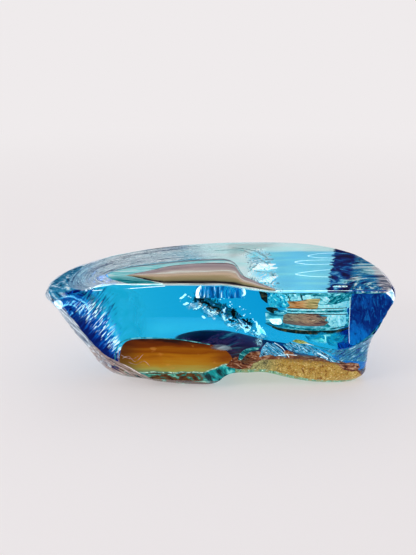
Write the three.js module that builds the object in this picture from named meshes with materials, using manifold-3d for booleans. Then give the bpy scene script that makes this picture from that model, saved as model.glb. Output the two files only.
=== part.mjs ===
// Art glass paperweight: a boat-shaped block of sea-blue glass, polished flat on its top and front,
// over a base of amber, gold and copper glass that stands for sand and rock.
// Millimetres, +Z up, polished front towards -Y. The origin is under the middle of the block.
import * as THREE from 'three';
import { mergeVertices } from 'three/addons/utils/BufferGeometryUtils.js';
import Module from 'manifold-3d';

const wasm = await Module();
wasm.setup();

// Clearance between neighbouring pieces
const gap = 0.3;

// Overall size of the block
const blockLength = 174;
const blockDepth = 86;
const blockHeight = 52;
const frontY = -blockDepth / 2;

// The cast lump is lofted from rounded sections about an upright spine
const spineFromRight = 62;
const spineFromFront = 18;
const spineX = blockLength / 2 - spineFromRight;
const spineY = frontY + spineFromFront;
const leftReach = blockLength - spineFromRight;
const backReach = blockDepth - spineFromFront;
const frontReach = 30;
const sectionSteps = 80;
const heightSteps = 15;

// Share of the full reach at each share of the height, from the foot to just over the sawn top
const castProfile = [
  { rise: 0, left: 0.545, right: 0.756, back: 0.6, lobeFront: 0.45, footFront: 0.4 },
  { rise: 0.07, left: 0.69, right: 0.812, back: 0.72, lobeFront: 0.583, footFront: 0.483 },
  { rise: 0.18, left: 0.763, right: 0.82, back: 0.82, lobeFront: 0.767, footFront: 0.533 },
  { rise: 0.4, left: 0.83, right: 0.837, back: 0.91, lobeFront: 0.9, footFront: 0.62 },
  { rise: 0.6, left: 0.895, right: 0.884, back: 0.97, lobeFront: 0.967, footFront: 0.9 },
  { rise: 0.8, left: 0.954, right: 0.95, back: 1, lobeFront: 0.967, footFront: 1 },
  { rise: 0.93, left: 1, right: 1, back: 1, lobeFront: 0.867, footFront: 0.933 },
  { rise: 1.01, left: 0.89, right: 0.942, back: 0.975, lobeFront: 0.767, footFront: 0.8 },
  { rise: 1.12, left: 0.64, right: 0.65, back: 0.75, lobeFront: 0.633, footFront: 0.633 },
];

// How square the plan is in each quarter: 2 is an ellipse
const squareness = { leftFront: 4, rightFront: 4, leftBack: 2.1, rightBack: 2.5 };
const frontBlend = { from: -6, to: 26 };

// Places below are given from the spine along the length, and from the polished front in depth

// Lift of the underside off the table along the front, as [along, lift], dying away to the back
const undersideLine = [
  [-113, 9], [-85, 7.8], [-75, 6], [-63, 5], [-53, 1.1], [-43, 0], [-34, 0], [-28, 1.6], [-23, 6.6],
  [-18, 8.8], [-10, 9], [-1, 8], [11, 4.6], [23, 1.8], [33, 0.6], [43, 0], [63, 0],
];
const undersideDepth = 30;
const undersideSteps = 240;

// Amber lobe, front left: its top falls away to the back
const lobe = {
  along: -46, inward: 21, halfLength: 31.5, halfDepth: 38, height: 25, fall: 0.24, roundness: 5,
};
const lobeSkin = { thickness: 3.4, curlAlong: -13, curlRise: 10, curlWidth: 9 };

// Upper left of the polished front, leaning back from just over the lobe to the top
const lean = {
  back: 10, aboveLobe: 1, leftFrom: -95, leftFull: -82, rightFull: -27, rightEnd: 5, steps: 32,
};

// Gold foot, front right, with its copper cap and its clear rim
const foot = {
  along: 19, inward: 16, halfLength: 32.5, halfDepth: 19, height: 13.5, fall: 0.08, roundness: 5,
};
const copperCap = { thickness: 2.6, depth: 13 };
const rimThickness = 1.8;

// Purple lustre layer that rises behind the lobe and over the foot
const lustre = {
  along: -1, inward: 21, halfLength: 43, halfDepth: 15, height: 21, fall: -0.05, roundness: 4,
};
const massRings = 7;
const massSteps = 44;
const massClosing = 0.98;

// Clear drum of two discs let into the top behind the polished front
const drum = { along: 22.5, radius: 23, wall: 2.5, depth: 22.1, jointDepth: 11.2, steps: 72 };
const drumX = spineX + drum.along;
const drumY = frontY + drum.wall + drum.radius;
const drumBottom = blockHeight - drum.depth;
const drumJoint = blockHeight - drum.jointDepth;

// Leaves in the face of the drum, placed from its axis and from the foot of their own disc
const leafThickness = 0.9;
const leafBulge = 1.6;
const leafSteps = 10;
const upperLeaf = { along: -4.5, rise: 4.4, floor: drumJoint, halfLength: 9.2, halfHeight: 2.1, tip: 0.35 };
const lowerLeaf = { along: -6, rise: 5.9, floor: drumBottom, halfLength: 12.6, halfHeight: 3.1, tip: 0.3 };

// Crumpled fold of clear glass, open at the back of the block
const fold = {
  thickness: 1.4, aboveBase: 2, belowTop: 5, ripple: 2.6, ripples: 4, steps: 40,
  startAlong: -39, pastBack: 6, endAlong: -5, endInward: 18,
};
const foldBottom = Math.max(lobe.height, lustre.height) + fold.aboveBase;
const foldTop = blockHeight - fold.belowTop;
const foldStart = { x: spineX + fold.startAlong, y: blockDepth / 2 + fold.pastBack };
const foldEnd = { x: spineX + fold.endAlong, y: frontY + fold.endInward };

// Sand-coloured veil let into the polished top over the lobe, outline as [along, inward]
const veil = { thickness: 1.2, steps: 72 };
const veilOutline = [
  [-83, 25.4], [-79.7, 32.3], [-74, 37.8], [-67.6, 41.4], [-59, 44.8], [-43, 50.4], [-30, 53],
  [-21, 52.4], [-16.4, 45], [-13.6, 29], [-10.6, 18.6], [-2.4, 9.4], [2.6, 2], [0, -4],
  [-34, -4], [-58, 2], [-68, 9.4], [-73.6, 13], [-80.6, 19],
];

// Thin shards and chips on the front under the polished face, outlines as [along, height]
const shardDepth = 1.6;
const shardOutlines = {
  ice_shard_left: [[-4.4, 15.4], [-1.8, 22], [1.4, 23.4], [6.6, 20.8], [10.6, 15.8], [4, 16.8]],
  ice_shard_right: [
    [11.8, 20.6], [18.6, 22.2], [25, 20], [32.6, 15], [38, 9.8], [29, 13.6], [19, 16.6], [13.6, 17.4],
  ],
  green_chip: [[11.4, 23.2], [14.4, 25.4], [22.6, 24.2], [17, 22.9]],
  red_chip: [[9.2, 19.4], [10.8, 20.2], [12.2, 17.8], [10.4, 17]],
  teal_curl: [
    [-17.8, 13.4], [-16.2, 19], [-11.9, 21.6], [-5, 22.6],
    [-3.6, 20], [-10.4, 19.2], [-13.4, 17], [-15, 13.2],
  ],
  copper_shard: [[-21.4, 9.6], [-16.8, 12.6], [-11.8, 15.2], [-10, 13.2], [-12.6, 11], [-15.6, 10.2]],
  copper_toe: [[39, 6.6], [41.5, 10.4], [45.6, 10], [47.6, 7.6], [46.6, 4.6], [41, 4.8]],
};
const fumePatch = { along: -27, height: lobe.height - 5.1, halfLength: 7.4, halfHeight: 1.5 };

// Colours, roughness and metalness by finish
const finishes = {
  sea: { color: 0x1fa5da, roughness: 0.05, metalness: 0 },
  clear: { color: 0x9fd6e4, roughness: 0.05, metalness: 0 },
  amber: { color: 0x96560a, roughness: 0.2, metalness: 0.1 },
  teal: { color: 0x12868a, roughness: 0.15, metalness: 0 },
  gold: { color: 0xad8b4c, roughness: 0.35, metalness: 0.3 },
  copper: { color: 0x7a4a3c, roughness: 0.4, metalness: 0.3 },
  lustre: { color: 0x3a2c56, roughness: 0.25, metalness: 0.3 },
  fume: { color: 0x8fa6ac, roughness: 0.4, metalness: 0 },
  ice: { color: 0x5fb4cf, roughness: 0.25, metalness: 0 },
  lime: { color: 0xa9b75c, roughness: 0.3, metalness: 0 },
  sand: { color: 0xb8aa98, roughness: 0.25, metalness: 0.3 },
};

// Solids and meshes

function solidOf(geometry) {
  geometry.deleteAttribute('normal');
  geometry.deleteAttribute('uv');
  const merged = mergeVertices(geometry, 1e-4);
  const vertProperties = Float32Array.from(merged.attributes.position.array);
  const triVerts = Uint32Array.from(merged.index.array);
  return new wasm.Manifold(new wasm.Mesh({ numProp: 3, vertProperties, triVerts }));
}

function geometryOf(solid) {
  const mesh = solid.getMesh();
  const geometry = new THREE.BufferGeometry();
  geometry.setAttribute('position', new THREE.BufferAttribute(mesh.vertProperties, 3));
  geometry.setIndex(new THREE.BufferAttribute(mesh.triVerts, 1));
  geometry.computeVertexNormals();
  return geometry;
}

function cutAway(solid, ...cutters) {
  return cutters.reduce((rest, cutter) => rest.subtract(cutter), solid);
}

// Closed skin over rings of equal length, capped at both ends
function skinOf(rings) {
  const count = rings[0].length;
  const points = rings.flat();
  const middle = (ring) => ring.reduce((sum, p) => sum.add(p), new THREE.Vector3()).divideScalar(count);
  points.push(middle(rings[0]), middle(rings.at(-1)));
  const index = [];
  for (let ring = 0; ring < rings.length - 1; ring += 1) {
    for (let k = 0; k < count; k += 1) {
      const next = (k + 1) % count;
      const low = ring * count;
      const high = low + count;
      index.push(low + k, low + next, high + next, low + k, high + next, high + k);
    }
  }
  const last = (rings.length - 1) * count;
  for (let k = 0; k < count; k += 1) {
    const next = (k + 1) % count;
    index.push(points.length - 2, next, k);
    index.push(points.length - 1, last + k, last + next);
  }
  const geometry = new THREE.BufferGeometry().setFromPoints(points);
  geometry.setIndex(index);
  return solidOf(geometry);
}

// The cast lump

function profileCurve(key) {
  return new THREE.SplineCurve(castProfile.map((row) => new THREE.Vector2(row.rise, row[key])));
}

const profileKeys = ['left', 'right', 'back', 'lobeFront', 'footFront'];
const profile = Object.fromEntries(profileKeys.map((key) => [key, profileCurve(key)]));
const highest = Object.fromEntries(
  profileKeys.map((key) => [key, Math.max(...castProfile.map((row) => row[key]))]),
);

function rounded(value, power) {
  return Math.sign(value) * Math.abs(value) ** (2 / power);
}

function sectionPoint(share, angle, z) {
  const c = Math.cos(angle);
  const s = Math.sin(angle);
  const power = squareness[(c < 0 ? 'left' : 'right') + (s < 0 ? 'Front' : 'Back')];
  const sideReach = c < 0 ? leftReach * share.left : spineFromRight * share.right;
  const x = spineX + sideReach * rounded(c, power);
  const toFoot = THREE.MathUtils.smoothstep(x, frontBlend.from, frontBlend.to);
  const frontShare = THREE.MathUtils.lerp(share.lobeFront, share.footFront, toFoot);
  const y = spineY + (s < 0 ? frontReach * frontShare : backReach * share.back) * rounded(s, power);
  return new THREE.Vector3(x, y, z);
}

function castLump() {
  const rings = [];
  for (let level = 0; level <= heightSteps; level += 1) {
    const t = level / heightSteps;
    const shareAt = (key) => Math.min(profile[key].getPoint(t).y, highest[key]);
    const share = Object.fromEntries(profileKeys.map((key) => [key, shareAt(key)]));
    const z = profile.left.getPoint(t).x * blockHeight;
    const ring = [];
    for (let k = 0; k < sectionSteps; k += 1) {
      ring.push(sectionPoint(share, (2 * Math.PI * k) / sectionSteps, z));
    }
    rings.push(ring);
  }
  return skinOf(rings);
}

// Box from low corner to high corner
function boxSolid(low, high) {
  const size = high.map((value, axis) => value - low[axis]);
  const geometry = new THREE.BoxGeometry(...size);
  geometry.translate(...low.map((value, axis) => value + size[axis] / 2));
  return solidOf(geometry);
}

// How far a cutter runs past what it cuts
const margin = 20;
const farLow = [-blockLength, -blockDepth, -margin];
const farHigh = [blockLength, blockDepth, blockHeight + margin];

// Everything under a height function, from well below the table
const fieldSteps = { x: 50, y: 7 };
const fieldMargin = 2;

function underSurface(heightAt) {
  const low = { x: -blockLength / 2 - fieldMargin, y: frontY - fieldMargin };
  const high = { x: blockLength / 2 + fieldMargin, y: blockDepth / 2 + fieldMargin };
  const point = (i, j, top) => {
    const x = THREE.MathUtils.lerp(low.x, high.x, i / fieldSteps.x);
    const y = THREE.MathUtils.lerp(low.y, high.y, j / fieldSteps.y);
    return new THREE.Vector3(x, y, top ? heightAt(x, y) : -margin);
  };
  const corners = [];
  const quad = (a, b, c, d) => corners.push(a, b, c, a, c, d);
  for (let i = 0; i < fieldSteps.x; i += 1) {
    for (let j = 0; j < fieldSteps.y; j += 1) {
      quad(point(i, j, true), point(i + 1, j, true), point(i + 1, j + 1, true), point(i, j + 1, true));
      quad(point(i, j), point(i, j + 1), point(i + 1, j + 1), point(i + 1, j));
    }
  }
  const lastX = fieldSteps.x;
  const lastY = fieldSteps.y;
  for (let i = 0; i < lastX; i += 1) {
    quad(point(i, 0), point(i + 1, 0), point(i + 1, 0, true), point(i, 0, true));
    quad(point(i, lastY), point(i, lastY, true), point(i + 1, lastY, true), point(i + 1, lastY));
  }
  for (let j = 0; j < lastY; j += 1) {
    quad(point(0, j), point(0, j, true), point(0, j + 1, true), point(0, j + 1));
    quad(point(lastX, j), point(lastX, j + 1), point(lastX, j + 1, true), point(lastX, j, true));
  }
  return solidOf(new THREE.BufferGeometry().setFromPoints(corners));
}

// A rounded mass that stands on the table, with its top falling to the back
function massSolid(mass, grow) {
  const rings = [];
  for (let level = 0; level <= massRings; level += 1) {
    const climb = Math.sin((level / massRings) * (Math.PI / 2) * massClosing);
    const draw = rounded(Math.sqrt(1 - climb * climb), mass.roundness);
    const ring = [];
    for (let k = 0; k < massSteps; k += 1) {
      const angle = (2 * Math.PI * k) / massSteps;
      const across = draw * rounded(Math.cos(angle), mass.roundness);
      const inward = draw * rounded(Math.sin(angle), mass.roundness);
      const x = spineX + mass.along + (mass.halfLength + grow) * across;
      const y = frontY + mass.inward + (mass.halfDepth + grow) * inward;
      const crown = mass.height + grow - mass.fall * (y - frontY);
      const z = THREE.MathUtils.lerp(-margin, crown, rounded(climb, mass.roundness));
      ring.push(new THREE.Vector3(x, y, z));
    }
    rings.push(ring);
  }
  return skinOf(rings);
}

const underside = new THREE.SplineCurve(
  undersideLine.map(([along, lift]) => new THREE.Vector2(spineX + along, lift)),
);
const undersidePoints = underside.getPoints(undersideSteps);
const hairsBreadth = 1e-3;

function undersideLift(x, y) {
  const k = undersidePoints.findIndex((point) => point.x >= x);
  const lift = k < 0 ? undersidePoints.at(-1).y : undersidePoints[k].y;
  const inward = Math.max(y - frontY, 0) / undersideDepth;
  return Math.max(lift, 0) * Math.exp(-inward * inward) - hairsBreadth;
}

function leanAt(x) {
  const fromLeft = THREE.MathUtils.smoothstep(x, spineX + lean.leftFrom, spineX + lean.leftFull);
  const fromRight = THREE.MathUtils.smoothstep(x, spineX + lean.rightFull, spineX + lean.rightEnd);
  return lean.back * fromLeft * (1 - fromRight);
}

// Everything before the polished front, in rings across it from left to right
function beforeFront() {
  const crease = lobe.height + lean.aboveLobe;
  const rise = (farHigh[2] - crease) / (blockHeight - crease);
  const places = [farLow[0]];
  for (let k = 0; k <= lean.steps; k += 1) {
    places.push(spineX + THREE.MathUtils.lerp(lean.leftFrom, lean.rightEnd, k / lean.steps));
  }
  places.push(farHigh[0]);
  return skinOf(places.map((x) => [
    new THREE.Vector3(x, farLow[1], farLow[2]),
    new THREE.Vector3(x, frontY, farLow[2]),
    new THREE.Vector3(x, frontY, crease),
    new THREE.Vector3(x, frontY + leanAt(x) * rise, farHigh[2]),
    new THREE.Vector3(x, farLow[1], farHigh[2]),
  ]));
}

const polishedTop = boxSolid([farLow[0], farLow[1], blockHeight], farHigh);
const table = boxSolid(farLow, [farHigh[0], farHigh[1], 0]);
const lump = cutAway(castLump(), polishedTop, beforeFront(), table, underSurface(undersideLift));

// The drum and its leaves

function discSolid(radius, low, high) {
  const height = high - low;
  const geometry = new THREE.CylinderGeometry(radius, radius, height, drum.steps);
  geometry.rotateX(Math.PI / 2);
  geometry.translate(drumX, drumY, low + height / 2);
  return solidOf(geometry);
}

function extrudeToBack(shape, frontPlane, depth) {
  const settings = { depth, bevelEnabled: false, curveSegments: leafSteps };
  const geometry = new THREE.ExtrudeGeometry(shape, settings);
  geometry.rotateX(Math.PI / 2);
  geometry.translate(0, frontPlane + depth, 0);
  return solidOf(geometry);
}

// A leaf with two pointed ends, drawn in x and z
function leafShape(leaf, grow) {
  const length = leaf.halfLength + grow;
  const bulge = (leaf.halfHeight + grow) * leafBulge;
  const x = drumX + leaf.along;
  const z = leaf.floor + leaf.rise;
  const shape = new THREE.Shape();
  shape.moveTo(x - length, z);
  shape.quadraticCurveTo(x - length * leaf.tip, z + bulge, x + length, z);
  shape.quadraticCurveTo(x + length * leaf.tip, z - bulge, x - length, z);
  return shape;
}

// The part of a leaf's upright prism that lies in the outermost shell of the drum
function leafSolid(leaf, grow) {
  const face = drumY - drum.radius - margin;
  const prism = extrudeToBack(leafShape(leaf, grow), face, drum.radius + margin);
  const tall = [drumBottom - margin, blockHeight + margin];
  const outside = prism.subtract(discSolid(drum.radius - leafThickness - grow, ...tall));
  return grow ? outside : outside.intersect(discSolid(drum.radius, ...tall));
}

const leafPockets = [upperLeaf, lowerLeaf].map((leaf) => leafSolid(leaf, gap));
const drumUpper = cutAway(discSolid(drum.radius, drumJoint + gap, blockHeight), ...leafPockets);
const drumLower = cutAway(discSolid(drum.radius, drumBottom, drumJoint), ...leafPockets);
const drumPocket = discSolid(drum.radius + gap, drumBottom - gap, blockHeight + margin);

// The crumpled fold

function foldSolid(grow) {
  const half = fold.thickness / 2 + grow;
  const run = new THREE.Vector2(foldEnd.x - foldStart.x, foldEnd.y - foldStart.y);
  const along = run.clone().normalize();
  const side = new THREE.Vector2(-along.y, along.x);
  const rings = [];
  const shares = Array.from({ length: fold.steps + 1 }, (_, k) => k / fold.steps);
  if (grow) {
    shares.push(1 + grow / run.length());
  }
  for (const t of shares) {
    const wave = fold.ripple * Math.sin(2 * Math.PI * fold.ripples * t);
    const lean = fold.ripple * Math.cos(3 * Math.PI * fold.ripples * t);
    const at = (offset, height) => new THREE.Vector3(
      foldStart.x + run.x * t + side.x * offset,
      foldStart.y + run.y * t + side.y * offset,
      height,
    );
    const low = foldBottom - grow;
    const high = foldTop + grow - fold.ripple * t;
    rings.push([
      at(wave - half, low), at(wave + half, low), at(lean + half, high), at(lean - half, high),
    ]);
  }
  return skinOf(rings);
}

// Shards on the front

const sharpestSpread = 0.4;

function grownOutline(points, grow) {
  const turn = Math.sign(THREE.ShapeUtils.area(points));
  return points.map((point, k) => {
    const before = point.clone().sub(points.at(k - 1)).normalize();
    const after = points[(k + 1) % points.length].clone().sub(point).normalize();
    const outward = new THREE.Vector2(before.y + after.y, -before.x - after.x).multiplyScalar(turn);
    const spread = Math.max(outward.lengthSq() / 2, sharpestSpread);
    return point.clone().add(outward.multiplyScalar(grow / spread));
  });
}

function shardShape(outline, grow) {
  const points = outline.map(([along, height]) => new THREE.Vector2(spineX + along, height));
  return new THREE.Shape(grownOutline(points, grow));
}

// Where the cast lump's own front lies at a shard, a shard follows it at its own depth
function shardSolid(outline, grow) {
  const prism = extrudeToBack(shardShape(outline, grow), frontY - margin, blockDepth / 2);
  const inner = lump.translate([0, shardDepth + grow, 0]);
  return prism.subtract(inner).intersect(grow ? prism : lump);
}

function patchSolid(grow) {
  const radii = [fumePatch.halfLength + grow, fumePatch.halfHeight + grow];
  const shape = new THREE.Shape();
  shape.absellipse(spineX + fumePatch.along, fumePatch.height, ...radii, 0, 2 * Math.PI);
  const prism = extrudeToBack(shape, frontY - margin, margin + shardDepth + grow);
  return grow ? prism : prism.intersect(lump);
}

const shardNames = Object.keys(shardOutlines);
const shardCutters = shardNames.map((name) => shardSolid(shardOutlines[name], gap));
const frontCutters = [...shardCutters, patchSolid(gap)];

// The veil in the top

function veilSolid(grow) {
  const corners = veilOutline.map(([along, inward]) => new THREE.Vector3(spineX + along, frontY + inward));
  const curve = new THREE.CatmullRomCurve3(corners, true);
  const points = curve.getPoints(veil.steps).slice(1).map(({ x, y }) => new THREE.Vector2(x, y));
  const shape = new THREE.Shape(grownOutline(points, grow));
  const geometry = new THREE.ExtrudeGeometry(shape, { depth: margin, bevelEnabled: false });
  geometry.translate(0, 0, blockHeight - veil.thickness - grow);
  return grow ? solidOf(geometry) : solidOf(geometry).intersect(lump);
}

// The base masses, each cut back from the one before it

function skinHeight(x, y) {
  const curl = Math.exp(-(((x - spineX - lobeSkin.curlAlong) / lobeSkin.curlWidth) ** 2));
  return undersideLift(x, y) + lobeSkin.thickness + lobeSkin.curlRise * curl;
}

const lobeCutter = massSolid(lobe, gap);
const footCutter = massSolid(foot, gap);
const lustreCutter = massSolid(lustre, gap);

const lobeMass = cutAway(lump.intersect(massSolid(lobe, 0)), ...frontCutters);
const lobeSkinSolid = lobeMass.intersect(underSurface(skinHeight));
const amberLobe = lobeMass.subtract(underSurface((x, y) => skinHeight(x, y) + gap));

const footMass = cutAway(lump.intersect(massSolid(foot, 0)), lobeCutter, ...frontCutters);
const footRim = footMass.intersect(underSurface((x, y) => undersideLift(x, y) + rimThickness));
const overRim = footMass.subtract(underSurface((x, y) => undersideLift(x, y) + rimThickness + gap));
const capBack = boxSolid([farLow[0], frontY + copperCap.depth, farLow[2]], farHigh);
const capCore = (drop) => massSolid({ ...foot, height: foot.height - drop }, 0);
const goldFoot = overRim.intersect(capCore(copperCap.thickness + gap));
const copperBand = cutAway(overRim, capCore(copperCap.thickness), capBack);

const lustreLayer = cutAway(
  lump.intersect(massSolid(lustre, 0)),
  lobeCutter,
  footCutter,
  ...frontCutters,
);

const seaBlock = cutAway(
  lump,
  lobeCutter,
  footCutter,
  lustreCutter,
  drumPocket,
  foldSolid(gap),
  veilSolid(gap),
  ...frontCutters,
);

// The assembly

const paperweight = new THREE.Group();

// The largest body of a cut: crumbs that a cut leaves at an edge are dropped
function largestBody(solid) {
  return solid.decompose().reduce((best, body) => (body.volume() > best.volume() ? body : best));
}

function addPiece(name, solid, finish) {
  const material = new THREE.MeshStandardMaterial(finishes[finish]);
  const mesh = new THREE.Mesh(geometryOf(largestBody(solid)), material);
  mesh.name = name;
  paperweight.add(mesh);
}

addPiece('sea_block', seaBlock, 'sea');
addPiece('amber_lobe', amberLobe, 'amber');
addPiece('lobe_skin', lobeSkinSolid, 'teal');
addPiece('gold_foot', goldFoot, 'gold');
addPiece('copper_band', copperBand, 'copper');
addPiece('foot_rim', footRim, 'teal');
addPiece('lustre_layer', lustreLayer, 'lustre');
addPiece('drum_upper', drumUpper, 'clear');
addPiece('drum_lower', drumLower, 'clear');
addPiece('upper_leaf', leafSolid(upperLeaf, 0), 'gold');
addPiece('lower_leaf', leafSolid(lowerLeaf, 0), 'copper');
addPiece('clear_fold', foldSolid(0).intersect(lump), 'clear');
addPiece('fume_patch', patchSolid(0), 'fume');
addPiece('sand_veil', veilSolid(0), 'sand');

const shardFinishes = {
  ice_shard_left: 'ice',
  ice_shard_right: 'ice',
  green_chip: 'lime',
  red_chip: 'copper',
  teal_curl: 'teal',
  copper_shard: 'copper',
  copper_toe: 'copper',
};
shardNames.forEach((name, k) => {
  const shard = cutAway(shardSolid(shardOutlines[name], 0), ...shardCutters.slice(0, k));
  addPiece(name, shard, shardFinishes[name]);
});

export default paperweight;
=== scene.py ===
import bpy
import bmesh
import math
import numpy as np
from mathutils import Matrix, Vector


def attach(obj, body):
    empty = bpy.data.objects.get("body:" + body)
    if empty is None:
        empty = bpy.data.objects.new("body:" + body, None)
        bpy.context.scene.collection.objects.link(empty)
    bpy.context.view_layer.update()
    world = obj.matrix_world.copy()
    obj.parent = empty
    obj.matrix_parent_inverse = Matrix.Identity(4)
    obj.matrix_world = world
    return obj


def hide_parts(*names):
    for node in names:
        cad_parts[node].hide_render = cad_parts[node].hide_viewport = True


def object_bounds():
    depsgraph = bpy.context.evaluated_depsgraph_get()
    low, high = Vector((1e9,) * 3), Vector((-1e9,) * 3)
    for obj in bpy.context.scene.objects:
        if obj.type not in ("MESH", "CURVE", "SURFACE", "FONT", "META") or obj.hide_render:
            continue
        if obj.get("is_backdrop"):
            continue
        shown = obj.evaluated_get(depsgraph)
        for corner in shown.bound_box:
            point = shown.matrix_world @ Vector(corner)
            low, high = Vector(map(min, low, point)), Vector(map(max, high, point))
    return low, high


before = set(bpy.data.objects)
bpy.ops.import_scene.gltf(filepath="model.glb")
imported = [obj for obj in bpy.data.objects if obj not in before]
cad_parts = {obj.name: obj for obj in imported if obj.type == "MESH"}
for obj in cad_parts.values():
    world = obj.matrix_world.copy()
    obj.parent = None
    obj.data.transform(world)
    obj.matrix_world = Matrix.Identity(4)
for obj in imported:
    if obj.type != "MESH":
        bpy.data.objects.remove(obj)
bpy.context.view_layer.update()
mm = 0.001
scene = bpy.context.scene

# Camera, room and light

view = {
    "place": (-0.006, -0.409, 0.1823), "pitch": 18.6, "sensor": 36.0, "frameWidth": 416,
    "focalPixels": 800,
}

camera = bpy.data.objects.new("camera", bpy.data.cameras.new("camera"))
scene.collection.objects.link(camera)
camera.location = view["place"]
camera.rotation_euler = (math.radians(90 - view["pitch"]), 0, 0)
camera.data.sensor_fit = "HORIZONTAL"
camera.data.sensor_width = view["sensor"]
camera.data.lens = view["sensor"] * view["focalPixels"] / view["frameWidth"]
camera.data.clip_start = 0.01
camera.data.clip_end = 20
scene.camera = camera
scene.view_settings.view_transform = "Standard"


def linear(red, green, blue):  # a screen colour from 0 to 255 as the numbers a shader takes
    shares = [c / 255 for c in (red, green, blue)]
    return tuple(s / 12.92 if s <= 0.04045 else ((s + 0.055) / 1.055) ** 2.4 for s in shares)


class Value:  # a shader socket that sums can be written with
    def __init__(self, paint, socket):
        self.paint = paint
        self.socket = socket

    def math(self, operation, *terms):
        return self.paint.add("ShaderNodeMath", {"operation": operation}, dict(enumerate(terms)))

    def __add__(self, other):
        return self.math("ADD", self, other)

    def __sub__(self, other):
        return self.math("SUBTRACT", self, other)

    def __mul__(self, other):
        return self.math("MULTIPLY", self, other)

    def __truediv__(self, other):
        return self.math("DIVIDE", self, other)

    def __radd__(self, other):
        return self.math("ADD", other, self)

    def __rsub__(self, other):
        return self.math("SUBTRACT", other, self)

    def __rmul__(self, other):
        return self.math("MULTIPLY", other, self)

    def most(self, other):
        return self.math("MAXIMUM", self, other)

    def least(self, other):
        return self.math("MINIMUM", self, other)

    def away(self):
        return self.math("ABSOLUTE", self)

    def root(self):
        return self.math("SQRT", self)

    def contour(self, step, width):  # 1 on thin lines where the value passes each multiple of a step
        return 1 - self.math("PINGPONG", self, step / 2).rise(0.0, width)

    def rise(self, low, high):  # 0 below low, 1 above high, smooth between
        settings = {"interpolation_type": "SMOOTHSTEP"}
        return self.paint.add("ShaderNodeMapRange", settings, {0: self, 1: low, 2: high, 3: 0.0, 4: 1.0})

    def band(self, middle, half, soft):  # 1 within half of the middle, smooth over soft
        return 1 - (self - middle).away().rise(half, half + soft)


class Paint:  # one material or world and its node tree
    def __init__(self, made, output="ShaderNodeOutputMaterial"):
        self.material = bpy.data.materials.new(made) if isinstance(made, str) else made
        self.material.use_nodes = True
        self.tree = self.material.node_tree
        self.tree.nodes.clear()
        self.output = self.tree.nodes.new(output)

    def add(self, kind, settings=None, sockets=None, result=0):
        node = self.tree.nodes.new(kind)
        for name, value in (settings or {}).items():
            if name == "stops":
                ramp = node.color_ramp
                while len(ramp.elements) < len(value):
                    ramp.elements.new(0.5)
                for element, (place, colour) in zip(ramp.elements, value):
                    element.position = place
                    element.color = (*colour, 1.0)
            else:
                setattr(node, name, value)
        for name, value in (sockets or {}).items():
            socket = node.inputs[name]
            if isinstance(value, Value):
                self.tree.links.new(value.socket, socket)
            elif isinstance(value, tuple) and len(value) == 3 and socket.type == "RGBA":
                socket.default_value = (*value, 1.0)
            else:
                socket.default_value = value
        return Value(self, node.outputs[result])

    def place(self):  # the point on the object, in millimetres
        point = self.add("ShaderNodeTexCoord", result="Object")
        return self.add("ShaderNodeVectorMath", {"operation": "SCALE"}, {0: point, "Scale": 1 / mm})

    def parts(self, vector):
        node = self.tree.nodes.new("ShaderNodeSeparateXYZ")
        self.tree.links.new(vector.socket, node.inputs[0])
        return [Value(self, output) for output in node.outputs]

    def along(self, name):  # the mesh's own numbers: share along and share across
        return self.parts(self.add("ShaderNodeAttribute", {"attribute_name": name}, {}, "Vector"))

    def stretched(self, vector, scale, turn):  # turned in degrees, then scaled
        sockets = {"Vector": vector, "Rotation": tuple(math.radians(a) for a in turn)}
        turned = self.add("ShaderNodeVectorRotate", {"rotation_type": "EULER_XYZ"}, sockets)
        return self.add("ShaderNodeVectorMath", {"operation": "MULTIPLY"}, {0: turned, 1: scale})

    def joined(self, x, y, z=0.0):
        return self.add("ShaderNodeCombineXYZ", {}, {0: x, 1: y, 2: z})

    def noise(self, vector, scale, detail=2.0, twist=0.0, roughness=0.5):
        sockets = {"Vector": vector, "Scale": scale, "Detail": detail, "Roughness": roughness}
        return self.add("ShaderNodeTexNoise", {}, {**sockets, "Distortion": twist})

    def grain(self, scale, detail, twist=0.0, roughness=0.5, turn=(0, 0, 0)):  # stretched noise
        return self.noise(self.stretched(self.place(), scale, turn), 1.0, detail, twist, roughness)

    def ramp(self, value, stops, shown=linear):  # stops: places with their screen colours
        made = [(place, shown(*colour)) for place, colour in stops]
        return self.add("ShaderNodeValToRGB", {"stops": made}, {0: value})

    def mix(self, share, first, second):
        return self.add("ShaderNodeMix", {"data_type": "RGBA"}, {0: share, 6: first, 7: second}, 2)

    def reflected(self):  # 1 for what a surface mirrors, without what is seen through glass
        glossy = self.add("ShaderNodeLightPath", result="Is Glossy Ray")
        return glossy * (1 - self.add("ShaderNodeLightPath", result="Is Transmission Ray"))

    def surface(self, **sockets):
        named = {name.replace("_", " "): value for name, value in sockets.items()}
        shader = self.add("ShaderNodeBsdfPrincipled", {}, named)
        self.tree.links.new(shader.socket, self.output.inputs["Surface"])
        return self.material


room = {
    "backdrop": (239, 235, 236), "floor": (246, 243, 244), "glow": 0.45, "glowNear": 0.25, "glowFar": 0.9,
    "floorDrop": 0.3, "floorHalf": 8.0, "ahead": 0.5, "aheadFrom": 0.25, "aheadTo": -0.35,
    "mirrored": 0.03, "mirroredFrom": 0.02, "mirroredTo": -0.1, "mirroredFar": 0.04,
}


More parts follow.
